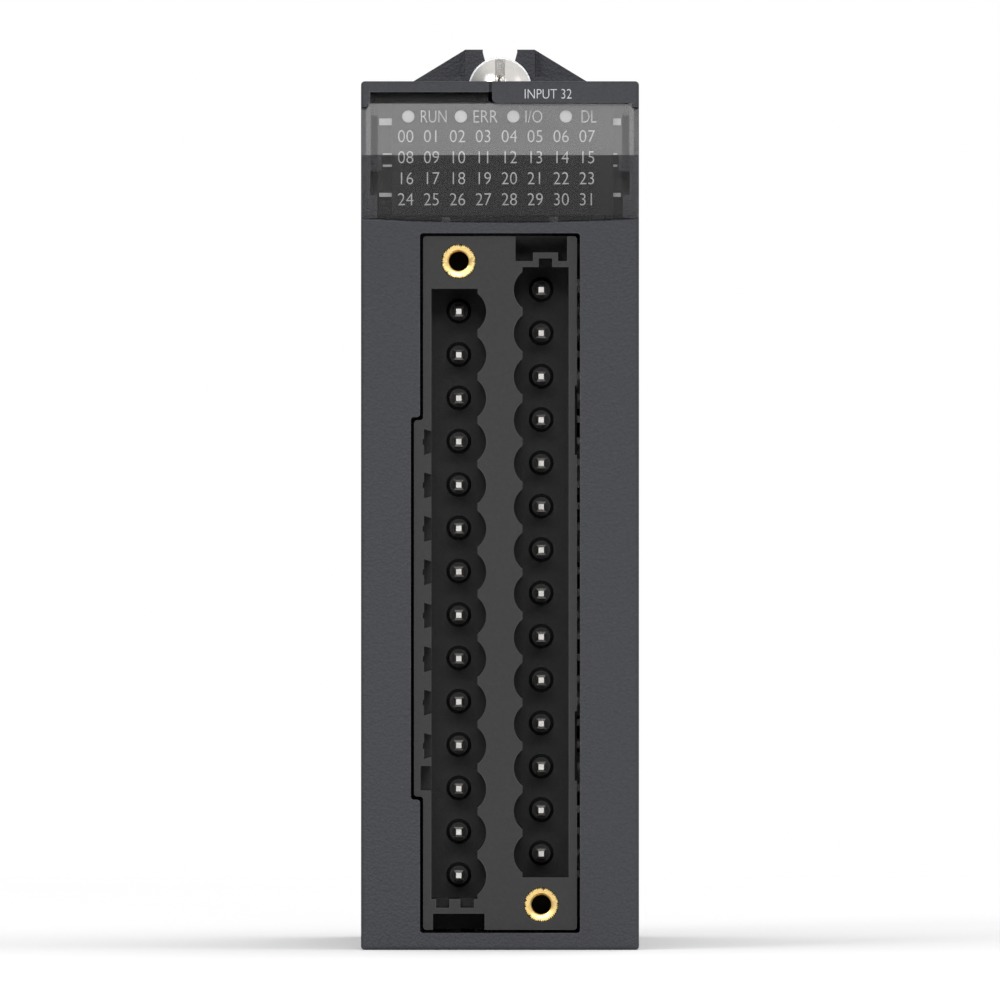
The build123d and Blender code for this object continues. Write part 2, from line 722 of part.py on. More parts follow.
with BuildPart() as contacts_right:
    for z in right_pins:
        contact(column_x, z)
    chamfer(contacts_right.faces().group_by(Axis.Y)[0].edges(), pin_tip_taper)
contacts_right.part.label = "contacts_right"
export_step(contacts_right.part, "parts/contacts_right.step")


def threaded_insert(x, z):
    """A brass bush pressed into the header's face, with a countersunk mouth."""
    peg(x, z, insert_r, insert_y)
    peg(x, z, insert_bore_r, insert_y, mode=Mode.SUBTRACT)


# Threaded inserts that take the terminal block's two screws
with BuildPart() as insert_upper:
    threaded_insert(-column_x, left_pins[-1] + insert_offset)
    chamfer(insert_upper.edges().group_by(Axis.Y)[0].sort_by(SortBy.RADIUS)[0], insert_mouth)
insert_upper.part.label = "insert_upper"
export_step(insert_upper.part, "parts/insert_upper.step")

with BuildPart() as insert_lower:
    threaded_insert(column_x, right_pins[0] - insert_offset)
    chamfer(insert_lower.edges().group_by(Axis.Y)[0].sort_by(SortBy.RADIUS)[0], insert_mouth)
insert_lower.part.label = "insert_lower"
export_step(insert_lower.part, "parts/insert_lower.step")

# Rear case: the moulded body behind the cover, with vents above and below, grooves for the main
# board, two hooks at the foot of the rear face and the screw tab at its head
tongue_y = (case_front_y - tongue_reach, case_front_y + tongue_root)
tongue_z = (tongue_ends, case_top - tongue_ends)
tongue_x = (half_width - cover_wall - slip_gap - tongue_thickness, half_width - cover_wall - slip_gap)
plug_x = (board_left - slip_gap - plug_size[0], board_left - slip_gap)
plug_y = (rear_limit_y - plug_setback - plug_size[1], rear_limit_y - plug_setback)
plug_z = (plug_low, plug_low + plug_size[2])
vent_space = (-case_inner + vent_margin[0], board_mid_x - rail_width / 2 - vent_margin[1])
vent_count = int((vent_space[1] - vent_space[0]) / vent_pitch)
vent_y_space = (case_front_y + tongue_root + vent_margin[1], tab_front_y - vent_margin[2])
vent_rows = int((vent_y_space[1] - vent_y_space[0]) / vent_row_pitch)
panel_y = (case_front_y + panel_margin, rear_y - panel_margin)
panel_z = (panel_margin, case_top - panel_margin)
ramp_foot_x = case_half - tab_foot
ramp_foot_z = overall_height - tab_foot_drop
ramp_slope = tab_foot_drop / (ramp_foot_x - boss_half)
shelf_z = front_height + tab_shelf


def ramp_z(x, below=0.0):
    """Height of the tab's ramp at a place across the width, or a distance below it."""
    return overall_height - (x - boss_half) * ramp_slope - below


with BuildPart() as rear_case:
    block((-case_half, case_half), (case_front_y, rear_y), (0, case_top))
    fillet(rear_case.edges().filter_by(Axis.Y), case_edge)
    block(
        (-case_inner, case_inner),
        (case_front_y - 1, rear_y - case_rear_wall),
        (case_wall, case_top - case_wall),
        mode=Mode.SUBTRACT,
    )
    # Grooves that hold the main board by its upper and lower edges
    rail_x = around(board_mid_x, rail_width)
    groove_x = around(board_mid_x, board_thickness + 2 * slip_gap)
    rail_y = (case_front_y + tongue_root, rear_y - case_rear_wall)
    low_rail = (case_wall / 2, case_wall + rail_height)
    high_rail = (case_top - case_wall - rail_height, case_top - case_wall / 2)
    block(rail_x, rail_y, low_rail)
    block(rail_x, rail_y, high_rail)
    groove_y = (rail_y[0] - 1, board_back_y + slip_gap)
    block(groove_x, groove_y, (low_rail[1] - rail_grip, low_rail[1] + 1), mode=Mode.SUBTRACT)
    block(groove_x, groove_y, (high_rail[0] - 1, high_rail[0] + rail_grip), mode=Mode.SUBTRACT)
    # Tongues that slide inside the cover, with a catch for each of its side windows
    for side in (-1, 1):
        block(sorted((side * tongue_x[0], side * tongue_x[1])), tongue_y, tongue_z)
        for height in catch_heights:
            catch_x = sorted((side * tongue_x[0], side * (half_width - case_inset)))
            block(catch_x, catch_y, around(height, catch_size[1]))
        # Shallow panel on the outside for the label
        panel_x = sorted((side * (case_half - panel_recess), side * (case_half + 1)))
        block(panel_x, panel_y, panel_z, mode=Mode.SUBTRACT)
    # Vents through the roof and the floor
    vent_middle = (sum(vent_space) / 2, sum(vent_y_space) / 2, case_top / 2)
    with Locations(vent_middle):
        with GridLocations(vent_pitch, vent_row_pitch, vent_count, vent_rows):
            Box(vent_width, vent_length, case_top + 2, mode=Mode.SUBTRACT)
    # Rear openings for the plug and the ground spring
    wall_y = (rear_y - case_rear_wall - 1, rear_y + 1)
    plug_hole_x = (plug_x[0] - plug_gap, plug_x[1] + plug_gap)
    block(plug_hole_x, wall_y, (plug_z[0] - plug_gap, plug_z[1] + plug_gap), mode=Mode.SUBTRACT)
    spring_hole_x = (spring_x[0] - plug_gap, spring_x[1] + plug_gap)
    spring_hole_z = (spring_z[0] - plug_gap, spring_z[1] + plug_gap)
    block(spring_hole_x, wall_y, spring_hole_z, mode=Mode.SUBTRACT)
    # Hooks
    for x in (-hook_foot_x, hook_foot_x):
        finger_y = rear_limit_y - hook_finger
        across(
            [
                (rear_y - 1, hook_foot_z[1]),
                (finger_y, hook_foot_z[1]),
                (finger_y, hook_foot_z[0]),
                (rear_limit_y - hook_lead_in[0], hook_foot_z[0]),
                (rear_limit_y, hook_foot_z[0] + hook_lead_in[1]),
                (rear_limit_y, hook_foot_z[2] - hook_crown),
                (rear_limit_y - hook_crown, hook_foot_z[2]),
                (rear_y - 1, hook_foot_z[2]),
            ],
            around(x, hook_foot_width),
        )
    # Screw tab: two ramped flanks behind a central boss
    tab_root_z = case_top - case_wall / 2
    flank_y = (tab_front_y + tab_flank_setback, rear_y)
    slab(
        [
            (-ramp_foot_x, tab_root_z),
            (-ramp_foot_x, ramp_foot_z),
            (-boss_half, overall_height),
            (boss_half, overall_height),
            (ramp_foot_x, ramp_foot_z),
            (ramp_foot_x, tab_root_z),
        ],
        flank_y,
    )
    shelf_half = boss_half + (overall_height - shelf_z) / ramp_slope
    slab(
        [
            (-ramp_foot_x, tab_root_z),
            (-ramp_foot_x, ramp_foot_z),
            (-shelf_half, shelf_z),
            (shelf_half, shelf_z),
            (ramp_foot_x, ramp_foot_z),
            (ramp_foot_x, tab_root_z),
        ],
        (tab_front_y, flank_y[0]),
    )
    step_half = boss_half + boss_step
    step_y = (tab_front_y + tab_flank_setback / 2, flank_y[0])
    block((-step_half, step_half), step_y, (tab_root_z, ramp_z(step_half)))
    block((-boss_half, boss_half), (tab_front_y, rear_y), (tab_root_z, overall_height))
    # The flanks are cored out from behind
    core_x = (thread_r + channel_gap + tab_skin, ramp_foot_x - tab_skin)
    core_low = case_top + tab_skin / 2
    core_drop = tab_skin / cos(atan2(tab_foot_drop, ramp_foot_x - boss_half))
    for side in (-1, 1):
        core = [
            (side * core_x[0], core_low),
            (side * core_x[0], min(ramp_z(core_x[0], core_drop), overall_height - tab_skin)),
            (side * core_x[1], ramp_z(core_x[1], core_drop)),
            (side * core_x[1], core_low),
        ]
        slab(core, (flank_y[0] + tab_skin, rear_y), mode=Mode.SUBTRACT)
    # Slot that the screw's shank snaps down into, and the wider channel behind it for the thread
    neck = shank_r * throat_neck
    neck_z = screw_z + shank_r * neck_height
    web_y = (tab_front_y, tab_front_y + tab_web)
    slab(
        [
            (-neck, screw_z),
            (-neck, neck_z),
            (-throat_shoulder[0], overall_height - throat_shoulder[1]),
            (-throat_mouth[0], overall_height - throat_mouth[1]),
            (-throat_mouth[0], overall_height + 1),
            (throat_mouth[0], overall_height + 1),
            (throat_mouth[0], overall_height - throat_mouth[1]),
            (throat_shoulder[0], overall_height - throat_shoulder[1]),
            (neck, neck_z),
            (neck, screw_z),
        ],
        web_y,
        mode=Mode.SUBTRACT,
    )
    peg(0, screw_z, shank_r + slip_gap, web_y, mode=Mode.SUBTRACT)
    channel_r = thread_r + channel_gap
    peg(0, screw_z, channel_r, (web_y[1], rear_y), mode=Mode.SUBTRACT)
    block((-channel_r, channel_r), (web_y[1], rear_y), (screw_z, overall_height + 1), mode=Mode.SUBTRACT)
rear_case.part.label = "rear_case"
export_step(rear_case.part, "parts/rear_case.step")

# Captive washer and mounting screw on the tab
washer_y = (tab_front_y - washer_gap - washer_thickness, tab_front_y - washer_gap)
with BuildPart() as captive_washer:
    peg(0, screw_z, washer_r, washer_y)
    peg(0, screw_z, shank_r + slip_gap, washer_y, mode=Mode.SUBTRACT)
captive_washer.part.label = "captive_washer"
export_step(captive_washer.part, "parts/captive_washer.step")

# The screw is turned: a domed head with a slot across it and a cross in its middle, a thin shank that
# runs in the washer and the tab, and a thread too thick to pass back through the tab's slot
with BuildPart() as mounting_screw:
    head_back_y = washer_y[0] - head_gap
    head_front_y = head_back_y - head_height
    thread_y = rear_limit_y - thread_length
    dome_rise = head_height - head_rim
    with BuildSketch(Plane.YZ.offset(0)) as screw_section:
        with BuildLine():
            ThreePointArc(
                (head_front_y, screw_z),
                (head_front_y + dome_rise * dome_point[0], screw_z + head_r * dome_point[1]),
                (head_back_y - head_rim, screw_z + head_r),
            )
            Polyline(
                (head_back_y - head_rim, screw_z + head_r),
                (head_back_y, screw_z + head_r),
                (head_back_y, screw_z + shank_r),
                (thread_y - thread_chamfer, screw_z + shank_r),
                (thread_y, screw_z + thread_r),
                (rear_limit_y - thread_chamfer, screw_z + thread_r),
                (rear_limit_y, screw_z + thread_r - thread_chamfer),
                (rear_limit_y, screw_z),
                (head_front_y, screw_z),
            )
        make_face()
    revolve(axis=Axis((0, 0, screw_z), (0, 1, 0)))
    slot_y = (head_front_y - 1, head_front_y + drive_slot[1])
    block(around(0, drive_slot[0]), slot_y, around(screw_z, 2 * head_r + 1), mode=Mode.SUBTRACT)
    cross_y = (head_front_y - 1, head_front_y + drive_cross[2])
    block(around(0, drive_cross[1]), cross_y, around(screw_z, drive_cross[0]), mode=Mode.SUBTRACT)
    block(around(0, drive_cross[0]), cross_y, around(screw_z, drive_cross[1]), mode=Mode.SUBTRACT)
mounting_screw.part.label = "mounting_screw"
export_step(mounting_screw.part, "parts/mounting_screw.step")

# Backplane plug: a moulded shroud on the main board's rear edge, with two rows of bent contacts
plug_mid_x = sum(plug_x) / 2
plug_mid_z = sum(plug_z) / 2
plug_pin_z = [
    plug_mid_z + (index - (plug_pin_count - 1) / 2) * plug_pitch for index in range(plug_pin_count)
]
plug_rows = (
    (plug_mid_x + plug_pitch / 2, plug_y[0] - plug_pitch / 2),
    (plug_mid_x - plug_pitch / 2, plug_y[0] - plug_pitch * 3 / 2),
)
with BuildPart() as backplane_plug:
    block(plug_x, plug_y, plug_z)
    fillet(backplane_plug.edges().filter_by(Axis.Y), plug_corner)
    cavity_x = (plug_x[0] + plug_wall, plug_x[1] - plug_wall)
    cavity_z = (plug_z[0] + plug_wall, plug_z[1] - plug_wall)
    block(cavity_x, (plug_y[1] - plug_cavity, plug_y[1] + 1), cavity_z, mode=Mode.SUBTRACT)
    with Locations([(x, (plug_y[0] + plug_y[1]) / 2, z) for x, bend in plug_rows for z in plug_pin_z]):
        Box(plug_pin_size, plug_size[1] + 1, plug_pin_size, mode=Mode.SUBTRACT)
backplane_plug.part.label = "backplane_plug"
export_step(backplane_plug.part, "parts/backplane_plug.step")

with BuildPart() as backplane_contacts:
    for x, bend_y in plug_rows:
        for z in plug_pin_z:
            block(around(x, plug_pin_size), (bend_y, plug_y[1] - plug_pin_setback), around(z, plug_pin_size))
            bend = around(bend_y, plug_pin_size)
            block((x - plug_pin_size / 2, board_right + lead_tail), bend, around(z, plug_pin_size))
backplane_contacts.part.label = "backplane_contacts"
export_step(backplane_contacts.part, "parts/backplane_contacts.step")

# Ground strip: folded sheet metal, soldered to the main board and run along the rear wall to a
# spring that bows out through its opening to touch the backplane
with BuildPart() as ground_contact:
    strip_y = (rear_y - case_rear_wall - ground_strip, rear_y - case_rear_wall)
    block((spring_x[0], board_left), strip_y, strip_z)
    block((board_left - ground_strip, board_left), (board_back_y - ground_foot, strip_y[1]), strip_z)
    spring_root_y = (strip_y[0] + strip_y[1]) / 2
    spring_tip_y = rear_y + spring_bow
    with BuildSketch(Plane.YZ.offset(spring_x[0])) as spring_section:
        with BuildLine():
            Line((spring_root_y, strip_z[0] + 1), (spring_root_y, spring_z[0] + 1))
            ThreePointArc(
                (spring_root_y, spring_z[0] + 1),
                (spring_tip_y, sum(spring_z) / 2),
                (spring_root_y + 1, spring_z[1] - 1),
            )
        trace(line_width=ground_strip)
    extrude(spring_section.sketch, amount=spring_x[1] - spring_x[0])
ground_contact.part.label = "ground_contact"
export_step(ground_contact.part, "parts/ground_contact.step")

# Main board: an upright circuit board with a tongue that reaches forward over the header
link_tongue_y = led_board_y[1] + slip_gap
with BuildPart() as main_board:
    across(
        [
            (board_front_y, board_low),
            (board_back_y, board_low),
            (board_back_y, board_top),
            (link_tongue_y, board_top),
            (link_tongue_y, opening_top + 1),
            (board_front_y, opening_top + 1),
        ],
        (board_left, board_right),
    )
    board_x = (board_left, board_right)
    for z in left_pins + right_pins:
        side_peg(lead_y, z, lead_size / 2 * 2**0.5 + slip_gap / 2, board_x, mode=Mode.SUBTRACT)
    for z in foot_peg_z:
        side_peg(foot_peg_y, z, foot_peg_r + slip_gap, board_x, mode=Mode.SUBTRACT)
    for x, bend_y in plug_rows:
        for z in plug_pin_z:
            side_peg(bend_y, z, plug_pin_size / 2 * 2**0.5 + slip_gap / 2, board_x, mode=Mode.SUBTRACT)
    for z in link_pin_z:
        side_peg(link_y, z, link_pin_size, board_x, mode=Mode.SUBTRACT)
main_board.part.label = "main_board"
export_step(main_board.part, "parts/main_board.step")


def gull_wing_chip(size, y, z, leads_y, leads_z):
    """A moulded chip flat on the board, its thickness along X, with rows of leads on its sides."""
    length_y, thickness, length_z = size
    lead_thickness, lead_width, lead_reach = chip_lead
    body_x = (board_left - thickness, board_left - chip_standoff[0])
    block(body_x, around(y, length_y), around(z, length_z))
    with Locations((board_left - chip_standoff[1], y, z)):
        for index in range(leads_y):
            place = length_y * chip_lead_share * (index / (leads_y - 1) - 0.5)
            with Locations((0, place, 0)):
                Box(lead_thickness, lead_width, length_z + 2 * lead_reach)
        for index in range(leads_z):
            place = length_z * chip_lead_share * (index / (leads_z - 1) - 0.5)
            with Locations((0, 0, place)):
                Box(lead_thickness, length_y + 2 * lead_reach, lead_width)


# Columns of parts across the board, front to back: resistors, optocouplers, the controller's column
# and the bus chip's, with equal gaps
column_lengths = [
    resistor_size[0],
    coupler_size[0],
    controller_chip[0] + 2 * chip_lead[2],
    bus_chip[0] + 2 * chip_lead[2],
]
columns_start = lead_y + lead_size / 2
columns_end = min(bend_y for x, bend_y in plug_rows) - plug_pin_size / 2
column_gap = (columns_end - columns_start - sum(column_lengths)) / (len(column_lengths) + 1)
resistor_y, coupler_y, chip_y, bus_chip_y = [
    columns_start + column_gap * (index + 1) + sum(column_lengths[:index]) + length / 2
    for index, length in enumerate(column_lengths)
]

# Chips: the backplane bus interface, the controller and the two signal converters
with BuildPart() as bus_interface_chip:
    gull_wing_chip(bus_chip, bus_chip_y, plug_mid_z, 16, 16)
bus_interface_chip.part.label = "bus_interface_chip"
export_step(bus_interface_chip.part, "parts/bus_interface_chip.step")

with BuildPart() as microcontroller:
    gull_wing_chip(controller_chip, chip_y, plug_mid_z, 12, 12)
microcontroller.part.label = "microcontroller"
export_step(microcontroller.part, "parts/microcontroller.step")

with BuildPart() as converter_chips:
    for drop in converters_below_middle:
        gull_wing_chip(converter_chip, chip_y, plug_mid_z - drop, 0, 8)
converter_chips.part.label = "converter_chips"
export_step(converter_chips.part, "parts/converter_chips.step")

# Optocouplers: a column of small blocks that part the field side from the logic side
coupler_pitch = (header_top - header_low) / (coupler_count + 1)
with BuildPart() as optocouplers:
    for index in range(coupler_count):
        z = header_low + coupler_pitch * (index + 1)
        x = (board_left - coupler_size[1], board_left)
        block(x, around(coupler_y, coupler_size[0]), around(z, coupler_size[2]))
optocouplers.part.label = "optocouplers"
export_step(optocouplers.part, "parts/optocouplers.step")

# Isolation transformer: a square ferrite core round a taped winding
transformer_z = plug_z[0] - transformer_below_plug
with BuildPart() as isolation_transformer:
    core_x = (board_left - transformer_size[1], board_left)
    block(core_x, around(bus_chip_y, transformer_size[0]), around(transformer_z, transformer_size[2]))
    for side in (-1, 1):
        winding_y = bus_chip_y + side * transformer_size[0] / 2
        z = around(transformer_z, transformer_size[2] * winding[2])
        window_x = (board_left - transformer_size[1] + winding[0], board_left - winding[0])
        block(window_x, around(winding_y, 2 * winding[1]), z, mode=Mode.SUBTRACT)
isolation_transformer.part.label = "isolation_transformer"
export_step(isolation_transformer.part, "parts/isolation_transformer.step")

# Inductors: round-cornered wound blocks
with BuildPart() as inductors:
    for y in (bus_chip_y - inductor_spread, bus_chip_y + inductor_spread):
        x = (board_left - inductor_size[1], board_left)
        block(x, around(y, inductor_size[0]), around(board_top - inductor_from_top, inductor_size[2]))
    fillet(inductors.edges().filter_by(Axis.X), inductor_corner)
inductors.part.label = "inductors"
export_step(inductors.part, "parts/inductors.step")

# Electrolytic capacitors: cans standing off the board
capacitor_x = (board_left - capacitor_length, board_left)
with BuildPart() as electrolytic_capacitors:
    for distance in capacitors_from_rear:
        side_peg(board_back_y - distance, board_low + capacitor_from_base, capacitor_r, capacitor_x)
    fillet(electrolytic_capacitors.edges().filter_by(GeomType.CIRCLE), capacitor_edge)
electrolytic_capacitors.part.label = "electrolytic_capacitors"
export_step(electrolytic_capacitors.part, "parts/electrolytic_capacitors.step")

# Input resistors: one beside each contact's lead
with BuildPart() as chip_resistors:
    with Locations([(board_left - resistor_size[1] / 2, resistor_y, z) for z in left_pins + right_pins]):
        Box(resistor_size[1], resistor_size[0], resistor_size[2])
chip_resistors.part.label = "chip_resistors"
export_step(chip_resistors.part, "parts/chip_resistors.step")

# Crystal: a flat-sided can lying by the controller
with BuildPart() as crystal:
    x = (board_left - crystal_size[1], board_left)
    block(x, around(chip_y, crystal_size[2]), around(plug_mid_z + crystal_above_middle, crystal_size[0]))
    fillet(crystal.edges().filter_by(Axis.X), crystal_corner)
crystal.part.label = "crystal"
export_step(crystal.part, "parts/crystal.step")

# Side label in the left panel
with BuildPart() as side_label:
    label_x = (panel_recess - case_half - label_thickness, panel_recess - case_half)
    label_y = (panel_y[0] + label_margin[0], panel_y[1] - label_margin[0])
    block(label_x, label_y, (panel_z[0] + label_margin[1], panel_z[1] - label_margin[1]))
side_label.part.label = "side_label"
export_step(side_label.part, "parts/side_label.step")
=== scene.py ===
from math import cos, pi, radians, sin, tan

import bmesh
import bpy
import numpy as np
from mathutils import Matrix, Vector


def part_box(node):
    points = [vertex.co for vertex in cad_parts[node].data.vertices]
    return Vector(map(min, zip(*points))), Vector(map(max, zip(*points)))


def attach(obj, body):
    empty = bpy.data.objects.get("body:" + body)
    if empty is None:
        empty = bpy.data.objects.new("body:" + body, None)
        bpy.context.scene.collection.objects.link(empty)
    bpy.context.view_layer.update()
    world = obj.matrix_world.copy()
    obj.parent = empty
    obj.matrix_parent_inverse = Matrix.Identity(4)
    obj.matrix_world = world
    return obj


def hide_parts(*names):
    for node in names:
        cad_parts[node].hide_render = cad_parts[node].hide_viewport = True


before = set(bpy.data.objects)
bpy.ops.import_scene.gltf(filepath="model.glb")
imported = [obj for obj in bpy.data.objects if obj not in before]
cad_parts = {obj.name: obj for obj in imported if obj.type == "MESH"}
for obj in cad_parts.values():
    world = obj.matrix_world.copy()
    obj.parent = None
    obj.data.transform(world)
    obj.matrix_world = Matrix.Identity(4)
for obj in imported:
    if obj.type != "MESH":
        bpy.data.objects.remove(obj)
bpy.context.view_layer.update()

MM = 0.001

# Camera: a long lens square to the front face, a touch above the middle, so that the display band,
# the pin header and the screw tab are seen as in a catalogue view.
cover_low, cover_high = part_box("front_cover")
front_y = cover_low.y
cover_top = cover_high.z
module_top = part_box("rear_case")[1].z
view_span = 115.1 * MM
camera_lift = radians(0.5)
sensor = 36.0
lens = 1700.0
camera_distance = lens / sensor * view_span
aim = Vector((0, front_y, module_top / 2 - 0.05 * MM))
camera_data = bpy.data.cameras.new("front_view")
camera_data.sensor_width = sensor
camera_data.lens = lens
camera_data.clip_start = 0.05
camera_data.clip_end = 40.0
camera = bpy.data.objects.new("front_view", camera_data)
bpy.context.collection.objects.link(camera)
camera.location = aim + camera_distance * Vector((0, -cos(camera_lift), sin(camera_lift)))
camera.rotation_euler = (radians(90) - camera_lift, 0, 0)
bpy.context.scene.camera = camera
bpy.context.scene.view_settings.view_transform = "Standard"

# Studio: a pale sweep of light all round, brighter above and to the right, one large softbox high in
# front that the leaning half of the display window mirrors, a key light up and to the left, and weak
# lights from the right and from behind.
world = bpy.data.worlds.new("studio")
bpy.context.scene.world = world
world.use_nodes = True
world_nodes = world.node_tree.nodes
direction = world_nodes.new("ShaderNodeTexCoord")
parts = world_nodes.new("ShaderNodeSeparateXYZ")
slant = world_nodes.new("ShaderNodeMath")
slant.operation = "MULTIPLY_ADD"
slant.inputs[1].default_value = 0.45
sweep = world_nodes.new("ShaderNodeMapRange")
seen = world_nodes.new("ShaderNodeLightPath")
strength = world_nodes.new("ShaderNodeMath")
strength.operation = "MAXIMUM"
sweep_range = {"From Min": -0.25, "From Max": 0.75, "To Min": 0.32, "To Max": 1.0}
for socket_name, value in sweep_range.items():
    sweep.inputs[socket_name].default_value = value
world_links = (
    (direction.outputs["Generated"], parts.inputs[0]),
    (parts.outputs["X"], slant.inputs[0]),
    (parts.outputs["Z"], slant.inputs[2]),
    (slant.outputs[0], sweep.inputs["Value"]),
    (sweep.outputs[0], strength.inputs[0]),
    (seen.outputs["Is Camera Ray"], strength.inputs[1]),
    (strength.outputs[0], world_nodes["Background"].inputs["Strength"]),
)
for output, socket in world_links:
    world.node_tree.links.new(output, socket)
world_nodes["Background"].inputs["Color"].default_value = (1.0, 1.0, 1.0, 1.0)


def softbox(name, size, power, place, target):
    """A rectangular area light of a size in metres and a power in watts, turned to face a target."""
    data = bpy.data.lights.new(name, "AREA")
    data.shape = "RECTANGLE"
    data.size, data.size_y = size
    data.energy = power
    lamp = bpy.data.objects.new(name, data)
    bpy.context.collection.objects.link(lamp)
    lamp.location = place
    lamp.rotation_euler = (Vector(target) - Vector(place)).to_track_quat("-Z", "Y").to_euler()


module_middle = (0, 0, module_top / 2)
display_middle = (0, front_y, 0.095)
softbox("window_softbox", (0.75, 0.2), 6.2, (0, -1.45, 0.5), display_middle)
softbox("key_softbox", (0.35, 0.35), 2.6, (-0.5, -0.85, 0.6), module_middle)
softbox("side_softbox", (0.3, 0.5), 0.25, (0.75, -0.5, 0.35), module_middle)
softbox("rear_softbox", (0.5, 0.5), 0.9, (0.35, 0.8, 0.7), module_middle)

# Floor: a plain pale sheet, painted matt, that the module stands on. It isn't part of the module.
# Its paint is the first of the finishes, which are all built from nodes in the same way.
floor_half = 0.45
floor_mesh = bpy.data.meshes.new("floor")
floor_corners = [(x * floor_half, y * floor_half, 0) for x, y in ((-1, -1), (1, -1), (1, 1), (-1, 1))]
floor_mesh.from_pydata(floor_corners, [], [(0, 1, 2, 3)])
floor = bpy.data.objects.new("floor", floor_mesh)
bpy.context.collection.objects.link(floor)


class Socket:
    """An output socket that can be used in Python expressions: each operation adds a Math node."""

    def __init__(self, tree, output):
        self.tree = tree
        self.output = output

    def _math(self, operation, *values):
        return self.tree.node("ShaderNodeMath", {"operation": operation}, dict(enumerate(values)))

    def __add__(self, other):
        return self._math("ADD", self, other)

    def __sub__(self, other):
        return self._math("SUBTRACT", self, other)

    def __rsub__(self, other):
        return self._math("SUBTRACT", other, self)

    def __mul__(self, other):
        return self._math("MULTIPLY", self, other)

    __radd__ = __add__
    __rmul__ = __mul__

    def clamp(self, low, high, out_low=0.0, out_high=1.0):
        """Rises from out_low to out_high as the value goes from low to high, and stays within them."""
        values = {"Value": self, 1: low, 2: high, 3: out_low, 4: out_high}
        return self.tree.node("ShaderNodeMapRange", {"clamp": True}, values)

    def sine(self):
        return self._math("SINE", self)

    def above(self, limit):
        return self._math("GREATER_THAN", self, limit)


class Finish:
    """A material whose nodes are added one call at a time round one Principled shader."""

    def __init__(self, name, **constants):
        self.material = bpy.data.materials.new(name)
        self.material.use_nodes = True
        self.nodes = self.material.node_tree.nodes
        self.links = self.material.node_tree.links
        self.shader = self.nodes["Principled BSDF"]
        self.point = self.node("ShaderNodeTexCoord", output="Object")
        self.set(**constants)

    def node(self, kind, settings=None, inputs=None, output=0):
        """Adds a node: its settings first, then the values or links of its sockets."""
        made = self.nodes.new(kind)
        for key, value in (settings or {}).items():
            setattr(made, key, value)
        for key, value in (inputs or {}).items():
            self._feed(made.inputs[key], value)
        return Socket(self, made.outputs[output])

    def _feed(self, socket, value):
        """Links a socket to another, or gives it a constant."""
        if isinstance(value, Socket):
            self.links.new(value.output, socket)
        elif isinstance(value, tuple) and len(value) == 3 and socket.type == "RGBA":
            socket.default_value = (*value, 1)
        else:
            socket.default_value = value

    def set(self, **values):
        """Sets or links sockets of the shader, named with underscores for spaces."""
        for key, value in values.items():
            self._feed(self.shader.inputs[key.replace("_", " ")], value)

    def noise(self, per_metre, detail=2.0, roughness=0.5, point=None):
        """Soft random variation, about so many features to the metre."""
        inputs = {"Vector": point or self.point, "Scale": per_metre, "Detail": detail}
        return self.node("ShaderNodeTexNoise", {}, {**inputs, "Roughness": roughness})

    def grain(self, per_metre):
        """Random cells of about that many to the metre, as on spark-eroded mould steel."""
        return self.node("ShaderNodeTexVoronoi", {}, {"Vector": self.point, "Scale": per_metre})

    def stretched(self, scale):
        """The object's coordinates, scaled by a factor along each axis."""
        return self.node("ShaderNodeMapping", {}, {"Vector": self.point, "Scale": scale})

    def mix(self, share, first, second):
        """A colour between two, by a share."""
        inputs = {"Factor": share, 6: first, 7: second}
        return self.node("ShaderNodeMix", {"data_type": "RGBA"}, inputs, output=2)

    def axis(self, letter):
        """One coordinate of the surface point, in metres."""
        return self.node("ShaderNodeSeparateXYZ", {}, {0: self.point}, output="XYZ".index(letter))

    def edges(self, width=0.00025):
        """1 along sharp or rounded edges and 0 on open faces, from how the bevelled normal turns."""
        soft = self.node("ShaderNodeBevel", {"samples": 4}, {"Radius": width})
        true = self.node("ShaderNodeNewGeometry", output="True Normal")
        settings = {"operation": "DOT_PRODUCT"}
        facing = self.node("ShaderNodeVectorMath", settings, {0: soft, 1: true}, output="Value")
        return facing.clamp(0.995, 0.8)

    def bump(self, height, distance):
        """Feeds a height, in units of the distance, to the shader's normal."""
        self.set(Normal=self.node("ShaderNodeBump", {}, {"Height": height, "Distance": distance}))


floor_finish = Finish("floor_paint", Roughness=0.9)
floor_cloud = floor_finish.noise(6.0)
floor_finish.set(Base_Color=floor_finish.mix(floor_cloud, (0.95, 0.95, 0.95), (0.98, 0.98, 0.98)))
floor_mesh.materials.append(floor_finish.material)


# Rear case: a box moulded in dark polycarbonate blend, with vents, board grooves, two hooks that
# drop into the backplane and the tab for the screw. The cover snaps over its two tongues.
def dress(node, finish):
    """Gives every material slot of a CAD node's object one finish."""
    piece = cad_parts[node]
    if not piece.material_slots:
        piece.data.materials.append(finish.material)
    for slot in piece.material_slots:
        slot.material = finish.material


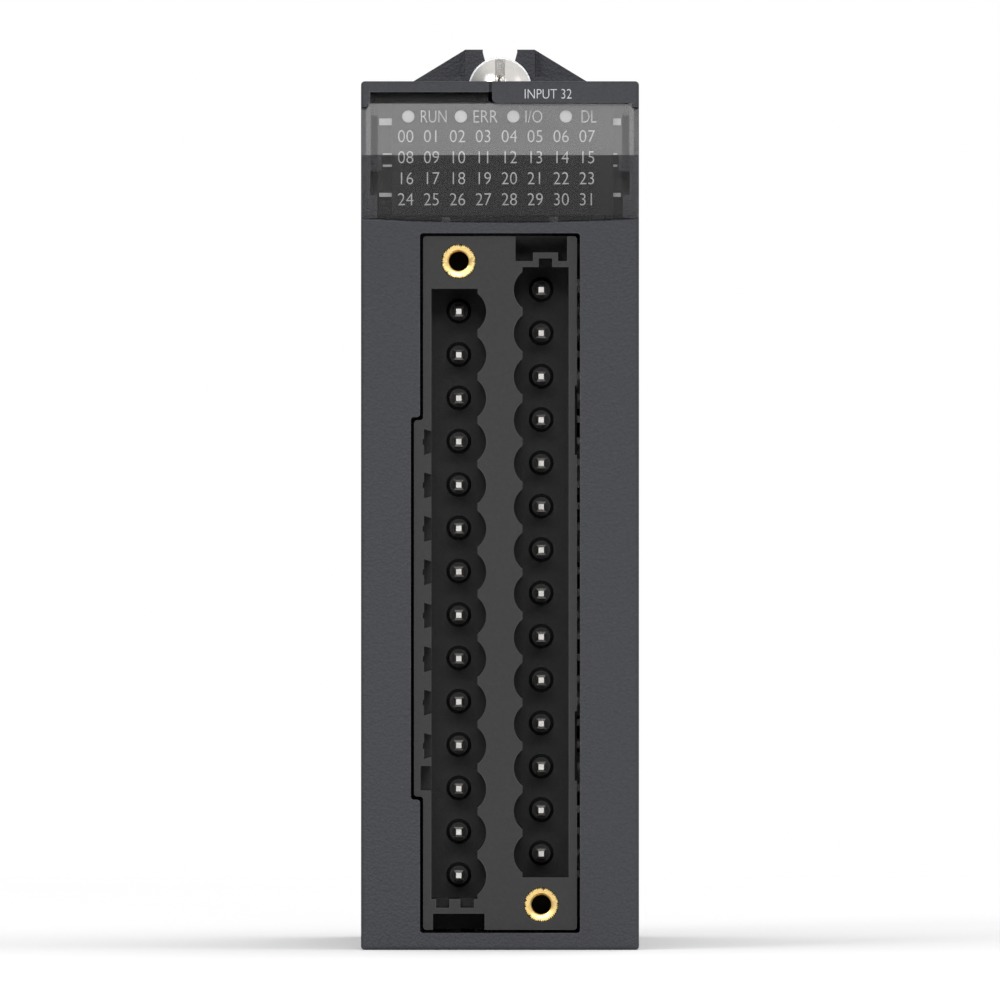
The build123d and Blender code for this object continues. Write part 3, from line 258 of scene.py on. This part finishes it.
def moulded(name, dark, light, roughness, grain_size=0.00025, relief=0.00001, shine=0.5):
    """Moulded plastic: faint flow patches, spark-eroded grain, and glossier edges with a painted
    highlight.
    """
    edge_highlight_share = 0.5
    finish = Finish(name, IOR=1.5, Specular_IOR_Level=shine)
    patches = finish.noise(45, detail=3).clamp(0.35, 0.65)
    cells = finish.grain(1 / grain_size)
    speckle = finish.noise(0.6 / grain_size, detail=1).clamp(0.3, 0.7)
    edge = finish.edges()
    colour = finish.mix(patches * 0.5 + speckle * 0.5, dark, light)
    # Painted edge highlight: the edges are painted a paler colour, in broken patches.
    edge_highlight_colour = tuple(min(1.0, channel * 1.9 + 0.02) for channel in light)
    highlight_patches = finish.noise(160, detail=4).clamp(0.42, 0.62)
    finish.set(Base_Color=finish.mix(edge * highlight_patches * edge_highlight_share, colour, edge_highlight_colour))
    finish.set(Roughness=patches * 0.08 + cells * 0.06 + (roughness - 0.05) - edge * 0.1)
    finish.bump(cells + speckle * 0.4, relief)
    return finish


case_plastic = moulded(
    "case_plastic", (0.023, 0.024, 0.03), (0.032, 0.033, 0.04), 0.62, grain_size=0.0003, relief=0.00006
)
dress("rear_case", case_plastic)


# Circuit boards: glass-epoxy laminate with buses of copper tracks and tinned vias. The main board is
# green and slides in the case's grooves. The LED board stands across it, and is black to hide it.
def laminate(name, stretch, bare, raised, via_size):
    """Solder mask in two shades over tracks spaced along Z, in bundles that are stretched along the
    tracks, with vias between."""
    finish = Finish(name, IOR=1.5)
    track_pitch = 1.27 * MM
    run = finish.axis("Z") * (2 * pi / track_pitch)
    bundle = finish.noise(90, detail=0, point=finish.stretched(stretch))
    tracks = run.sine().above(0.1) * bundle.above(0.52)
    vias = 1 - finish.grain(330).clamp(via_size * 0.7, via_size)
    mask = finish.mix(tracks, bare, raised)
    stain = finish.noise(300, detail=4).clamp(0.4, 0.7)
    stained = finish.mix(stain * 0.3, mask, tuple(channel * 0.7 for channel in bare))
    finish.set(Base_Color=finish.mix(vias, stained, (0.55, 0.5, 0.35)))
    finish.set(Roughness=stain * 0.15 + 0.28 - vias * 0.08, Metallic=vias)
    finish.bump(tracks + vias * 0.6, 0.00003)
    return finish


green_mask = ((0.012, 0.075, 0.035), (0.022, 0.125, 0.055))
black_mask = ((0.006, 0.006, 0.006), (0.012, 0.012, 0.012))
dress("main_board", laminate("main_laminate", (1, 0.25, 1), *green_mask, via_size=0.14))
dress("led_board", laminate("led_laminate", (0.25, 1, 1), *black_mask, via_size=0.02))


# Chips: black moulding resin with tinned leads that stand out at their sides. The resin's top is
# lightly matt from its mould, and the leads show where the part lies close to the board.
def chip_finish(name, resin, node):
    """Resin for most of a part's height, and tinned metal for the thin layer of leads under it."""
    finish = Finish(name, IOR=1.55)
    board_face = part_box("main_board")[0].x
    lead_thickness = 0.2 * MM
    leads = finish.axis("X").above(board_face - lead_thickness)
    dust = finish.noise(900, detail=4).clamp(0.4, 0.7)
    dusty_resin = finish.mix(dust, resin, tuple(channel * 1.5 + 0.006 for channel in resin))
    finish.set(Base_Color=finish.mix(leads, dusty_resin, (0.7, 0.7, 0.68)), Metallic=leads)
    finish.set(Roughness=dust * 0.12 + 0.45 - leads * 0.15)
    finish.bump(finish.grain(5000) + dust, 0.000008)
    dress(node, finish)


for node in ("bus_interface_chip", "microcontroller", "converter_chips"):
    chip_finish(node + "_resin", (0.014, 0.014, 0.015), node)
chip_finish("optocoupler_resin", (0.5, 0.49, 0.45), "optocouplers")

# Isolation transformer and inductors: cores pressed and sintered from ferrite powder, dark, with a
# fine grain and edges painted paler as a highlight.
ferrite = moulded("sintered_ferrite", (0.028, 0.027, 0.026), (0.045, 0.043, 0.04), 0.6, 0.0003, 0.00002)
dress("isolation_transformer", ferrite)
dress("inductors", ferrite)


# Transformer winding: enamelled copper wire laid in even turns between the core's two cheeks. It
# fills the windows at the core's sides.
def ring_surface(name, grid, finish, body="root"):
    """A closed mesh from a grid of points, rows by columns by 3: each cell is a quad, and both the
    rows and the columns join their last line to their first."""
    rows, columns = grid.shape[:2]
    index = np.arange(rows * columns).reshape(rows, columns)
    down = np.roll(index, -1, axis=0)
    corners = [index, np.roll(index, -1, axis=1), np.roll(down, -1, axis=1), down]
    quads = np.stack(corners, axis=-1).reshape(-1, 4)
    mesh = bpy.data.meshes.new(name)
    mesh.from_pydata(grid.reshape(-1, 3), [], quads.tolist())
    mesh.shade_smooth()
    mesh.set_sharp_from_angle(angle=radians(32))
    mesh.materials.append(finish.material)
    piece = bpy.data.objects.new(name, mesh)
    bpy.context.collection.objects.link(piece)
    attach(piece, body)
    return piece


def wound_ring(centre, half_size, height, turns, ridge):
    """Points on a ring of wire turns: a squared ellipse round the X axis, its radius swelling and
    falling as a rectified sine once for every turn of wire up its height, closed inside."""
    sides, steps_per_turn, power, inner = 72, 6, 0.4, 0.3
    angle = np.linspace(0, 2 * pi, sides + 1)[:-1]
    rise = np.linspace(0, 1, turns * steps_per_turn + 1)
    swell = 1 - ridge * (1 - np.abs(np.sin(rise * turns * pi)))
    profile = np.concatenate([[inner], swell, [inner]])
    level = np.concatenate([[0], rise, [1]]) * height - height / 2
    across = np.sign(np.cos(angle)) * np.abs(np.cos(angle)) ** power * half_size[0]
    up = np.sign(np.sin(angle)) * np.abs(np.sin(angle)) ** power * half_size[1]
    x = centre[0] + np.repeat(level[:, None], len(angle), 1)
    return np.stack([x, centre[1] + profile[:, None] * across, centre[2] + profile[:, None] * up], -1)


enamel = Finish("enamelled_wire", IOR=1.55, Metallic=0.6)
wire_shade = enamel.noise(2500, point=enamel.stretched((6, 1, 1))).clamp(0.3, 0.7)
enamel.set(Base_Color=enamel.mix(wire_shade, (0.32, 0.12, 0.03), (0.5, 0.22, 0.06)))
enamel.set(Roughness=wire_shade * 0.15 + 0.25)
enamel.bump(enamel.noise(6000), 0.000005)
core_low, core_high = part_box("isolation_transformer")
core_middle = (core_low + core_high) / 2
core_half = (core_high - core_low) / 2
winding_inset, cheeks = 0.2 * MM, 4.6 * MM
winding_half = (core_half.y - winding_inset, core_half.z * 0.64)
winding_grid = wound_ring(core_middle, winding_half, core_half.x * 2 - cheeks, turns=16, ridge=0.05)
ring_surface("transformer_winding", winding_grid, enamel)

# Electrolytic capacitors: drawn aluminium cans in a dark shrunk sleeve, with a pale stripe down the
# negative side and the bare top showing inside the sleeve's rolled edge.
sleeve = Finish("capacitor_sleeve", IOR=1.5)
can_low, can_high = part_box("electrolytic_capacitors")
rolled_edge, stripe_from_middle = 0.45 * MM, 2.9 * MM
bare = 1 - sleeve.axis("X").above(can_low.x + rolled_edge)
stripe = sleeve.axis("Z").above((can_low.z + can_high.z) / 2 + stripe_from_middle)
drawn = sleeve.noise(3500, detail=1, point=sleeve.stretched((0.1, 1, 1))).clamp(0.3, 0.7)
sleeve_colour = sleeve.mix(stripe, (0.02, 0.025, 0.05), (0.5, 0.52, 0.55))
sleeve.set(Base_Color=sleeve.mix(bare, sleeve_colour, (0.75, 0.75, 0.76)), Metallic=bare)
sleeve.set(Roughness=drawn * 0.15 + 0.3)
sleeve.bump(drawn, 0.000006)
dress("electrolytic_capacitors", sleeve)

# Chip resistors: small blocks of black glazed ceramic in rows on the main board, each with a tinned
# cap at both ends.
resistor_pitch, first_middle = 2.5 * MM, 0.625 * MM
resistor_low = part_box("chip_resistors")[0]
glaze = Finish("resistor_glaze", IOR=1.5)
phase = (glaze.axis("Z") - (resistor_low.z + first_middle)) * (2 * pi / resistor_pitch) + pi / 2
ends = 1 - phase.sine().above(0.12)
speck = glaze.noise(4000).clamp(0.4, 0.6)
glaze_colour = glaze.mix(speck, (0.015, 0.015, 0.017), (0.03, 0.03, 0.03))
glaze.set(Base_Color=glaze.mix(ends, glaze_colour, (0.7, 0.7, 0.68)))
glaze.set(Metallic=ends, Roughness=speck * 0.1 + 0.25)
glaze.bump(speck, 0.000005)
dress("chip_resistors", glaze)


# Crystal: a quartz blank sealed in a small drawn steel can, tinned, that clocks the controller.
# Its metal tarnishes in soft patches, with fine lines from the drawing.
def metal(name, bright, dull, roughness, streaks=(1, 1, 1)):
    """Bare or plated metal: patchy tarnish, and draw or brush lines stretched along an axis."""
    relief = 0.000004
    finish = Finish(name, Metallic=1.0)
    tarnish = finish.noise(420, detail=4, roughness=0.6).clamp(0.35, 0.7)
    lines = finish.noise(7000, detail=1, point=finish.stretched(streaks)).clamp(0.3, 0.7)
    finish.set(Base_Color=finish.mix(tarnish, bright, dull))
    finish.set(Roughness=tarnish * 0.12 + lines * 0.08 + roughness)
    finish.bump(lines + tarnish * 0.5, relief)
    return finish


dress("crystal", metal("crystal_can", (0.78, 0.78, 0.77), (0.6, 0.6, 0.58), 0.22, (1, 0.1, 1)))

# Terminal header: a long block moulded in glass-filled nylon, smoother than the cover, with its two
# rows of pockets for the plug-in terminal block. It is pegged and soldered to the main board.
header_plastic = moulded(
    "header_nylon", (0.018, 0.018, 0.018), (0.023, 0.023, 0.023), 0.58, 0.00035, 0.000012, 0.35
)
dress("terminal_header", header_plastic)

# Contacts: square tin-plated bronze pins, one to a terminal, bent behind the header and soldered
# through the main board, with their tips chamfered. The pins that join the boards and the plug's
# contacts are plated in the same way.
tin = metal("tinned_bronze", (0.58, 0.57, 0.55), (0.38, 0.37, 0.35), 0.3, (1, 0.08, 1))
for node in ("contacts_left", "contacts_right", "link_pins", "backplane_contacts"):
    dress(node, tin)


# Threaded inserts: turned brass bushes with a straight knurl that bites into the nylon, and a screw
# thread down the bore for the terminal block's screws. They are pressed in from the front.
def insert_grid(middle, front, length, bore, outer):
    """Points on a knurled bush, round its axis and along its outline. Outside, the radius follows
    saw teeth of uneven depth. In the bore it follows a helix: one ridge for each pitch of depth."""
    teeth, tooth_depth, steps_per_tooth = 48, 0.4 * MM, 6
    mouth, pitch, thread_depth, thread_steps = 0.1 * MM, 0.45 * MM, 0.13 * MM, 110
    face_chamfer, end_chamfer = (0.03 * MM, 0.04 * MM), (0.3 * MM, 0.2 * MM)
    bore_end = length - 0.1 * MM
    angle = np.linspace(0, 2 * pi, teeth * steps_per_tooth + 1)[:-1]
    saw = (angle * teeth / (2 * pi)) % 1
    uneven = 0.65 + 0.35 * np.sin(angle * 5.0 + 1.0) * np.cos(angle * 13.0)
    knurl = outer - tooth_depth * saw * uneven
    plain = np.full_like(angle, 1.0)
    rows = [
        ((bore + mouth) * plain, 0.0),
        (knurl - face_chamfer[0], 0.0),
        (knurl, face_chamfer[1]),
        (knurl, length - end_chamfer[1]),
        ((outer - end_chamfer[0]) * plain, length),
        (bore * plain, length),
    ]
    for depth in np.linspace(bore_end, mouth, thread_steps):
        wave = np.abs((depth / pitch + angle / (2 * pi)) % 1 - 0.5) * 2
        rows.append((bore - thread_depth * wave, depth))
    radius = np.array([row[0] for row in rows])
    depth = np.array([row[1] for row in rows])[:, None] * plain
    x = middle.x + radius * np.cos(angle)
    z = middle.z + radius * np.sin(angle)
    return np.stack([x, front + depth, z], -1)


brass = metal("turned_brass", (0.83, 0.62, 0.26), (0.6, 0.4, 0.14), 0.24, (1, 0.15, 1))
insert_bore = 1.25 * MM
for node in ("insert_upper", "insert_lower"):
    bush_low, bush_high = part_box(node)
    bush_size = bush_high - bush_low
    bush_middle = (bush_low + bush_high) / 2
    bush_grid = insert_grid(bush_middle, bush_low.y, bush_size.y, insert_bore, bush_size.x / 2)
    bush = ring_surface("knurled_" + node, bush_grid, brass)
    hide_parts(node)

# Front cover: moulded in the same kind of plastic as the case, a shade darker. Its face carries the
# window's seat and the nameplate, and it snaps over the case's catches.
cover_plastic = moulded(
    "cover_plastic", (0.018, 0.019, 0.025), (0.027, 0.028, 0.035), 0.62, grain_size=0.0003, relief=0.00006
)
dress("front_cover", cover_plastic)

# Nameplate word: pale ink, pad printed on the cover's leaning face. Like all the printing here, it is
# a thin solid of letters, two hundredths of a millimetre proud of what it is printed on.
ink_thickness = 0.02 * MM


def flat_word(text):
    """A word's solid letters in their own plane, one unit thick: its points and its faces."""
    weight = -0.012
    curve = bpy.data.curves.new("word", "FONT")
    curve.body = text
    curve.align_x = "CENTER"
    curve.extrude = 0.5
    curve.offset = weight
    curve.resolution_u = 4
    holder = bpy.data.objects.new("word", curve)
    mesh = bpy.data.meshes.new_from_object(holder)
    points = np.zeros(len(mesh.vertices) * 3)
    mesh.vertices.foreach_get("co", points)
    faces = [list(polygon.vertices) for polygon in mesh.polygons]
    bpy.data.objects.remove(holder)
    bpy.data.curves.remove(curve)
    bpy.data.meshes.remove(mesh)
    return points.reshape(-1, 3), faces


def print_mesh(name, points, faces):
    """One printed piece from lists of points and of faces, fixed to the module."""
    mesh = bpy.data.meshes.new(name)
    mesh.from_pydata(np.concatenate(points).tolist(), [], faces)
    piece = bpy.data.objects.new(name, mesh)
    bpy.context.collection.objects.link(piece)
    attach(piece, "root")
    return piece


def lettering(name, words, surface_y, lean=0.0, lean_from=0.0):
    """One mesh of words on an upright or leaning face. A word is its text, the place of its middle
    across and up, its height and width, and the gauge text that has that width, so that narrow
    digits keep their shape. Its depth is the face's, which leans by a slope."""
    points, faces, start = [], [], 0
    for text, x, z, height, width, gauge in words:
        gauge_flat, _ = flat_word(gauge)
        flat, mesh_faces = flat_word(text)
        middle = (gauge_flat.min(0) + gauge_flat.max(0)) / 2
        size = gauge_flat.max(0) - gauge_flat.min(0)
        across = (flat[:, 0] - middle[0]) / size[0] * width + x
        up = (flat[:, 1] - middle[1]) / size[1] * height + z
        leaning_y = surface_y + np.maximum(0, up - lean_from) * lean
        depth = leaning_y - (flat[:, 2] + 0.5) * ink_thickness
        points.append(np.stack([across, depth, up], -1))
        faces += [[start + vertex for vertex in face] for face in mesh_faces]
        start += len(flat)
    return print_mesh(name, points, faces)


def ink(name, thin, full):
    """Pad-printing ink: a little thin in soft patches, with a fine dry texture."""
    finish = Finish(name)
    patches = finish.noise(1500, detail=3).clamp(0.35, 0.6)
    finish.set(Base_Color=finish.mix(patches, thin, full), Roughness=patches * 0.1 + 0.5)
    finish.bump(finish.noise(9000), 0.000002)
    return finish


crown_height = 8.5 * MM
crown_z = cover_top - crown_height
lean_slope = tan(radians(8))
name_z = cover_top - 1.45 * MM
nameplate = [("INPUT 32", 5.55 * MM, name_z, 1.1 * MM, 5.4 * MM, "INPUT 32")]
name_word = lettering("nameplate_word", nameplate, front_y, lean_slope, crown_z)
name_word.data.materials.append(ink("nameplate_ink", (0.4, 0.4, 0.42), (0.52, 0.52, 0.55)).material)

# Display mask: matt black polycarbonate plate behind the window, printed with the channel numbers
# and the names of the four status lights, which shine through round pips.
mask_plastic = moulded(
    "mask_plastic", (0.008, 0.008, 0.008), (0.012, 0.012, 0.012), 0.6, 0.0004, 0.000001, 0.2
)
dress("display_mask", mask_plastic)
mask_face_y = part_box("display_mask")[0].y
status_names = (("RUN", -7.63, 2.95), ("ERR", -1.66, 2.77), ("I/O", 3.9, 1.93), ("DL", 10.24, 1.69))
letter_height, number_width = 1.4 * MM, 1.76 * MM
status_z = cover_top - 4.06 * MM
first_number = (-10.86 * MM, cover_top - 6.33 * MM)
number_pitch = (2.984 * MM, 2.42 * MM)
rows, columns = 4, 8
legend_words = [
    (text, x * MM, status_z, letter_height, width * MM, text) for text, x, width in status_names
]
legend_words += [
    (
        f"{row * columns + column:02d}",
        first_number[0] + column * number_pitch[0],
        first_number[1] - row * number_pitch[1],
        letter_height,
        number_width,
        "00",
    )
    for row in range(rows)
    for column in range(columns)
]
legends = lettering("display_legends", legend_words, mask_face_y)
legends.data.materials.append(ink("legend_ink", (0.46, 0.46, 0.46), (0.6, 0.6, 0.6)).material)


# Light guide: milky acrylic plate behind the mask, moulded with a round pip that fills each status
# hole, so that an unlit lamp looks like a grey dot.
def clear_plastic(name, tint, alpha, roughness, haze):
    """Clear moulded plastic seen as a thin skin: see-through by its alpha, glossy, with fine wipe
    marks and faint patches of flow haze."""
    finish = Finish(name, IOR=1.49, Specular_IOR_Level=1.0)
    flow = finish.noise(60, detail=2).clamp(0.35, 0.65)
    wipes = finish.noise(500, detail=3, point=finish.stretched((0.2, 1, 1))).clamp(0.55, 0.8)
    finish.set(Base_Color=finish.mix(flow, tint, tuple(channel * 1.2 + 0.01 for channel in tint)))
    finish.set(Alpha=flow * haze + wipes * haze * 0.4 + alpha)
    finish.set(Roughness=wipes * 0.03 + flow * 0.01 + roughness)
    return finish


dress("light_guide", clear_plastic("guide_acrylic", (0.62, 0.62, 0.62), 0.94, 0.25, haze=0.06))

# Light shield and board link: plain black mouldings behind the display. The shield has a cell for
# each lamp, and the link holds the pins that join the two boards.
black = moulded("black_moulding", (0.012, 0.012, 0.012), (0.02, 0.02, 0.02), 0.55)
dress("light_shield", black)
dress("board_link", black)

# Lamps: surface-mounted LEDs, small blocks of yellowish resin soldered to the LED board in rows,
# one behind each channel number and each status pip.
lamp_finish = Finish("lamp_resin", IOR=1.5)
lamp_cloud = lamp_finish.noise(2500, detail=2).clamp(0.4, 0.65)
lamp_finish.set(Base_Color=lamp_finish.mix(lamp_cloud, (0.62, 0.6, 0.42), (0.75, 0.74, 0.6)))
lamp_finish.set(Roughness=lamp_cloud * 0.1 + 0.2)
lamp_finish.bump(lamp_cloud, 0.000005)
dress("status_leds", lamp_finish)
dress("channel_leds", lamp_finish)

# Display window: clear polished cap, moulded in one piece. Its legs hook over two blocks inside the
# cover. The upright half shows what is behind it, and the leaning half mirrors the light above.
dress("display_window", clear_plastic("window_plastic", (0.05, 0.05, 0.05), 0.155, 0.19, haze=0.008))

# Captive washer: stamped from steel strip and zinc plated. It is held on the screw's thin shank,
# between the head and the thread.
zinc = metal("zinc_plate", (0.72, 0.73, 0.74), (0.5, 0.51, 0.53), 0.26)
dress("captive_washer", zinc)


# Mounting screw: steel, cold headed with a slot and a cross, thread rolled, then nickel plated. Its
# thread is thicker than its shank, so it can't fall back through the tab.
def rolled_thread(axis_z, start, end, shank, crest, pitch):
    """Points on a screw's shank and thread, by angle and depth. The radius follows a helix: it rises
    and falls once for each pitch of depth, flat at crest and root, and fades out at both ends."""
    sides, steps, tip = 48, 240, 0.01
    angle = np.linspace(0, 2 * pi, sides + 1)[:-1]
    depth = np.linspace(start, end, steps)[:, None]
    wave = np.abs((depth / pitch + angle / (2 * pi)) % 1 - 0.5) * 2
    ridge = np.clip(wave * 1.35 - 0.15, 0, 1)
    fade = np.clip((depth - start) / pitch, 0, 1) * np.clip((end - depth) / pitch, 0, 1)
    radius = shank + (crest - shank) * ridge * fade
    end_ring = np.full((1, sides), tip * shank)
    radius = np.concatenate([end_ring, radius, end_ring])
    depth = np.concatenate([depth[:1], depth, depth[-1:]])
    x = radius * np.cos(angle)
    z = axis_z + radius * np.sin(angle)
    return np.stack([x, depth + 0 * x, z], -1)


nickel = metal("nickel_plate", (0.74, 0.72, 0.69), (0.62, 0.6, 0.57), 0.1)
screw_low, screw_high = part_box("mounting_screw")
screw_axis_z = (screw_low.z + screw_high.z) / 2
shank_radius, crest_radius, thread_pitch = 1.55 * MM, 2.0 * MM, 0.7 * MM
thread_reach, thread_overlap = 6.7 * MM, 0.05 * MM
thread_start = screw_high.y - thread_reach
thread_grid = rolled_thread(
    screw_axis_z, thread_start - thread_overlap, screw_high.y, shank_radius, crest_radius, thread_pitch
)
thread = ring_surface("screw_thread", thread_grid, nickel, "screw")

# Screw head and shank: one piece of steel with the thread, with their turned shape. They are cut off
# where the rolled thread begins.
head_mesh = bmesh.new()
head_mesh.from_mesh(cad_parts["mounting_screw"].data)
bmesh.ops.remove_doubles(head_mesh, verts=head_mesh.verts, dist=0.000002)
everything = head_mesh.verts[:] + head_mesh.edges[:] + head_mesh.faces[:]
cut = bmesh.ops.bisect_plane(
    head_mesh, geom=everything, plane_co=(0, thread_start, 0), plane_no=(0, 1, 0), clear_outer=True
)
cut_edges = [item for item in cut["geom_cut"] if isinstance(item, bmesh.types.BMEdge)]
bmesh.ops.edgeloop_fill(head_mesh, edges=cut_edges)
bmesh.ops.recalc_face_normals(head_mesh, faces=head_mesh.faces)
head_data = bpy.data.meshes.new("screw_head")
head_mesh.to_mesh(head_data)
head_mesh.free()
head_data.materials.clear()
head_data.shade_smooth()
head_data.set_sharp_from_angle(angle=radians(28))
head_data.materials.append(nickel.material)
screw_head = bpy.data.objects.new("screw_head", head_data)
bpy.context.collection.objects.link(screw_head)
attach(screw_head, "screw")
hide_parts("mounting_screw")
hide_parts("mounting_screw")

# Backplane plug: black moulded shroud on the board's rear edge. The ground spring beside it is
# stamped from phosphor bronze strip, tinned, and bowed to press on the backplane.
plug_plastic = moulded("plug_plastic", (0.018, 0.018, 0.019), (0.026, 0.026, 0.027), 0.48, 0.0003)
dress("backplane_plug", plug_plastic)
bronze = metal("tinned_bronze_strip", (0.78, 0.68, 0.52), (0.58, 0.47, 0.32), 0.22, (0.08, 1, 1))
dress("ground_contact", bronze)

# Side label: printed polyester film stuck in the case's left panel, with a heading and a ruled table
# of the channel numbers that leaves room for notes.
film = Finish("label_film", IOR=1.5)
film_patches = film.noise(120, detail=4).clamp(0.35, 0.65)
film_rub = film.noise(900, detail=4).clamp(0.55, 0.75)
film_colour = film.mix(film_patches, (0.5, 0.51, 0.52), (0.56, 0.57, 0.58))
film.set(Base_Color=film.mix(film_rub * 0.4, film_colour, (0.4, 0.4, 0.41)))
film.set(Roughness=film_patches * 0.1 + 0.38)
film.bump(film.noise(4000) + film_patches, 0.000004)
dress("side_label", film)


def side_print(name, words, bars, face_x):
    """Words and ruled bars on the left face. A word is its text, the place of its middle along Y and
    Z, and its height; letters keep their own width. A bar is its low and high ends along Y and Z."""
    points, faces, start = [], [], 0
    for text, y, z, height in words:
        flat, mesh_faces = flat_word(text)
        middle = (flat.min(0) + flat.max(0)) / 2
        scale = height / (flat.max(0) - flat.min(0))[1]
        along = y - (flat[:, 0] - middle[0]) * scale
        up = z + (flat[:, 1] - middle[1]) * scale
        points.append(np.stack([face_x - (flat[:, 2] + 0.5) * ink_thickness, along, up], -1))
        faces += [[start + vertex for vertex in face] for face in mesh_faces]
        start += len(flat)
    cube_faces = ((0, 1, 3, 2), (4, 6, 7, 5), (0, 4, 5, 1), (2, 3, 7, 6), (0, 2, 6, 4), (1, 5, 7, 3))
    for y, z in bars:
        levels = (face_x - ink_thickness, face_x)
        corners = [(level, along, up) for level in levels for along in y for up in z]
        points.append(np.array(corners))
        faces += [[start + corner for corner in face][::-1] for face in cube_faces]
        start += len(corners)
    return print_mesh(name, points, faces)


label_low, label_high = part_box("side_label")
label_inset, rule, heading_space, heading_height = 2.0 * MM, 0.25 * MM, 9.0 * MM, 2.6 * MM
table_y = (label_low.y + label_inset, label_high.y - label_inset)
table_z = (label_low.z + label_inset, label_high.z - heading_space)
table_rows, table_columns = 16, 2
row_height = (table_z[1] - table_z[0]) / table_rows
column_width = (table_y[1] - table_y[0]) / table_columns
row_lines = table_z[0] + row_height * np.arange(table_rows + 1)
column_lines = table_y[0] + column_width * np.arange(table_columns + 1)
bars = [(table_y, (z - rule / 2, z + rule / 2)) for z in row_lines]
bars += [((y - rule / 2, y + rule / 2), table_z) for y in column_lines]
label_words = [
    (
        f"{row + column * table_rows:02d}",
        table_y[1] - (column + 0.2) * column_width,
        table_z[1] - (row + 0.5) * row_height,
        row_height * 0.5,
    )
    for row in range(table_rows)
    for column in range(table_columns)
]
heading_place = ((table_y[0] + table_y[1]) / 2, (table_z[1] + label_high.z) / 2)
label_words.append(("I/O MODULE", *heading_place, heading_height))
print_piece = side_print("label_print", label_words, bars, label_low.x)
print_piece.data.materials.append(ink("label_ink", (0.02, 0.02, 0.022), (0.035, 0.035, 0.038)).material)
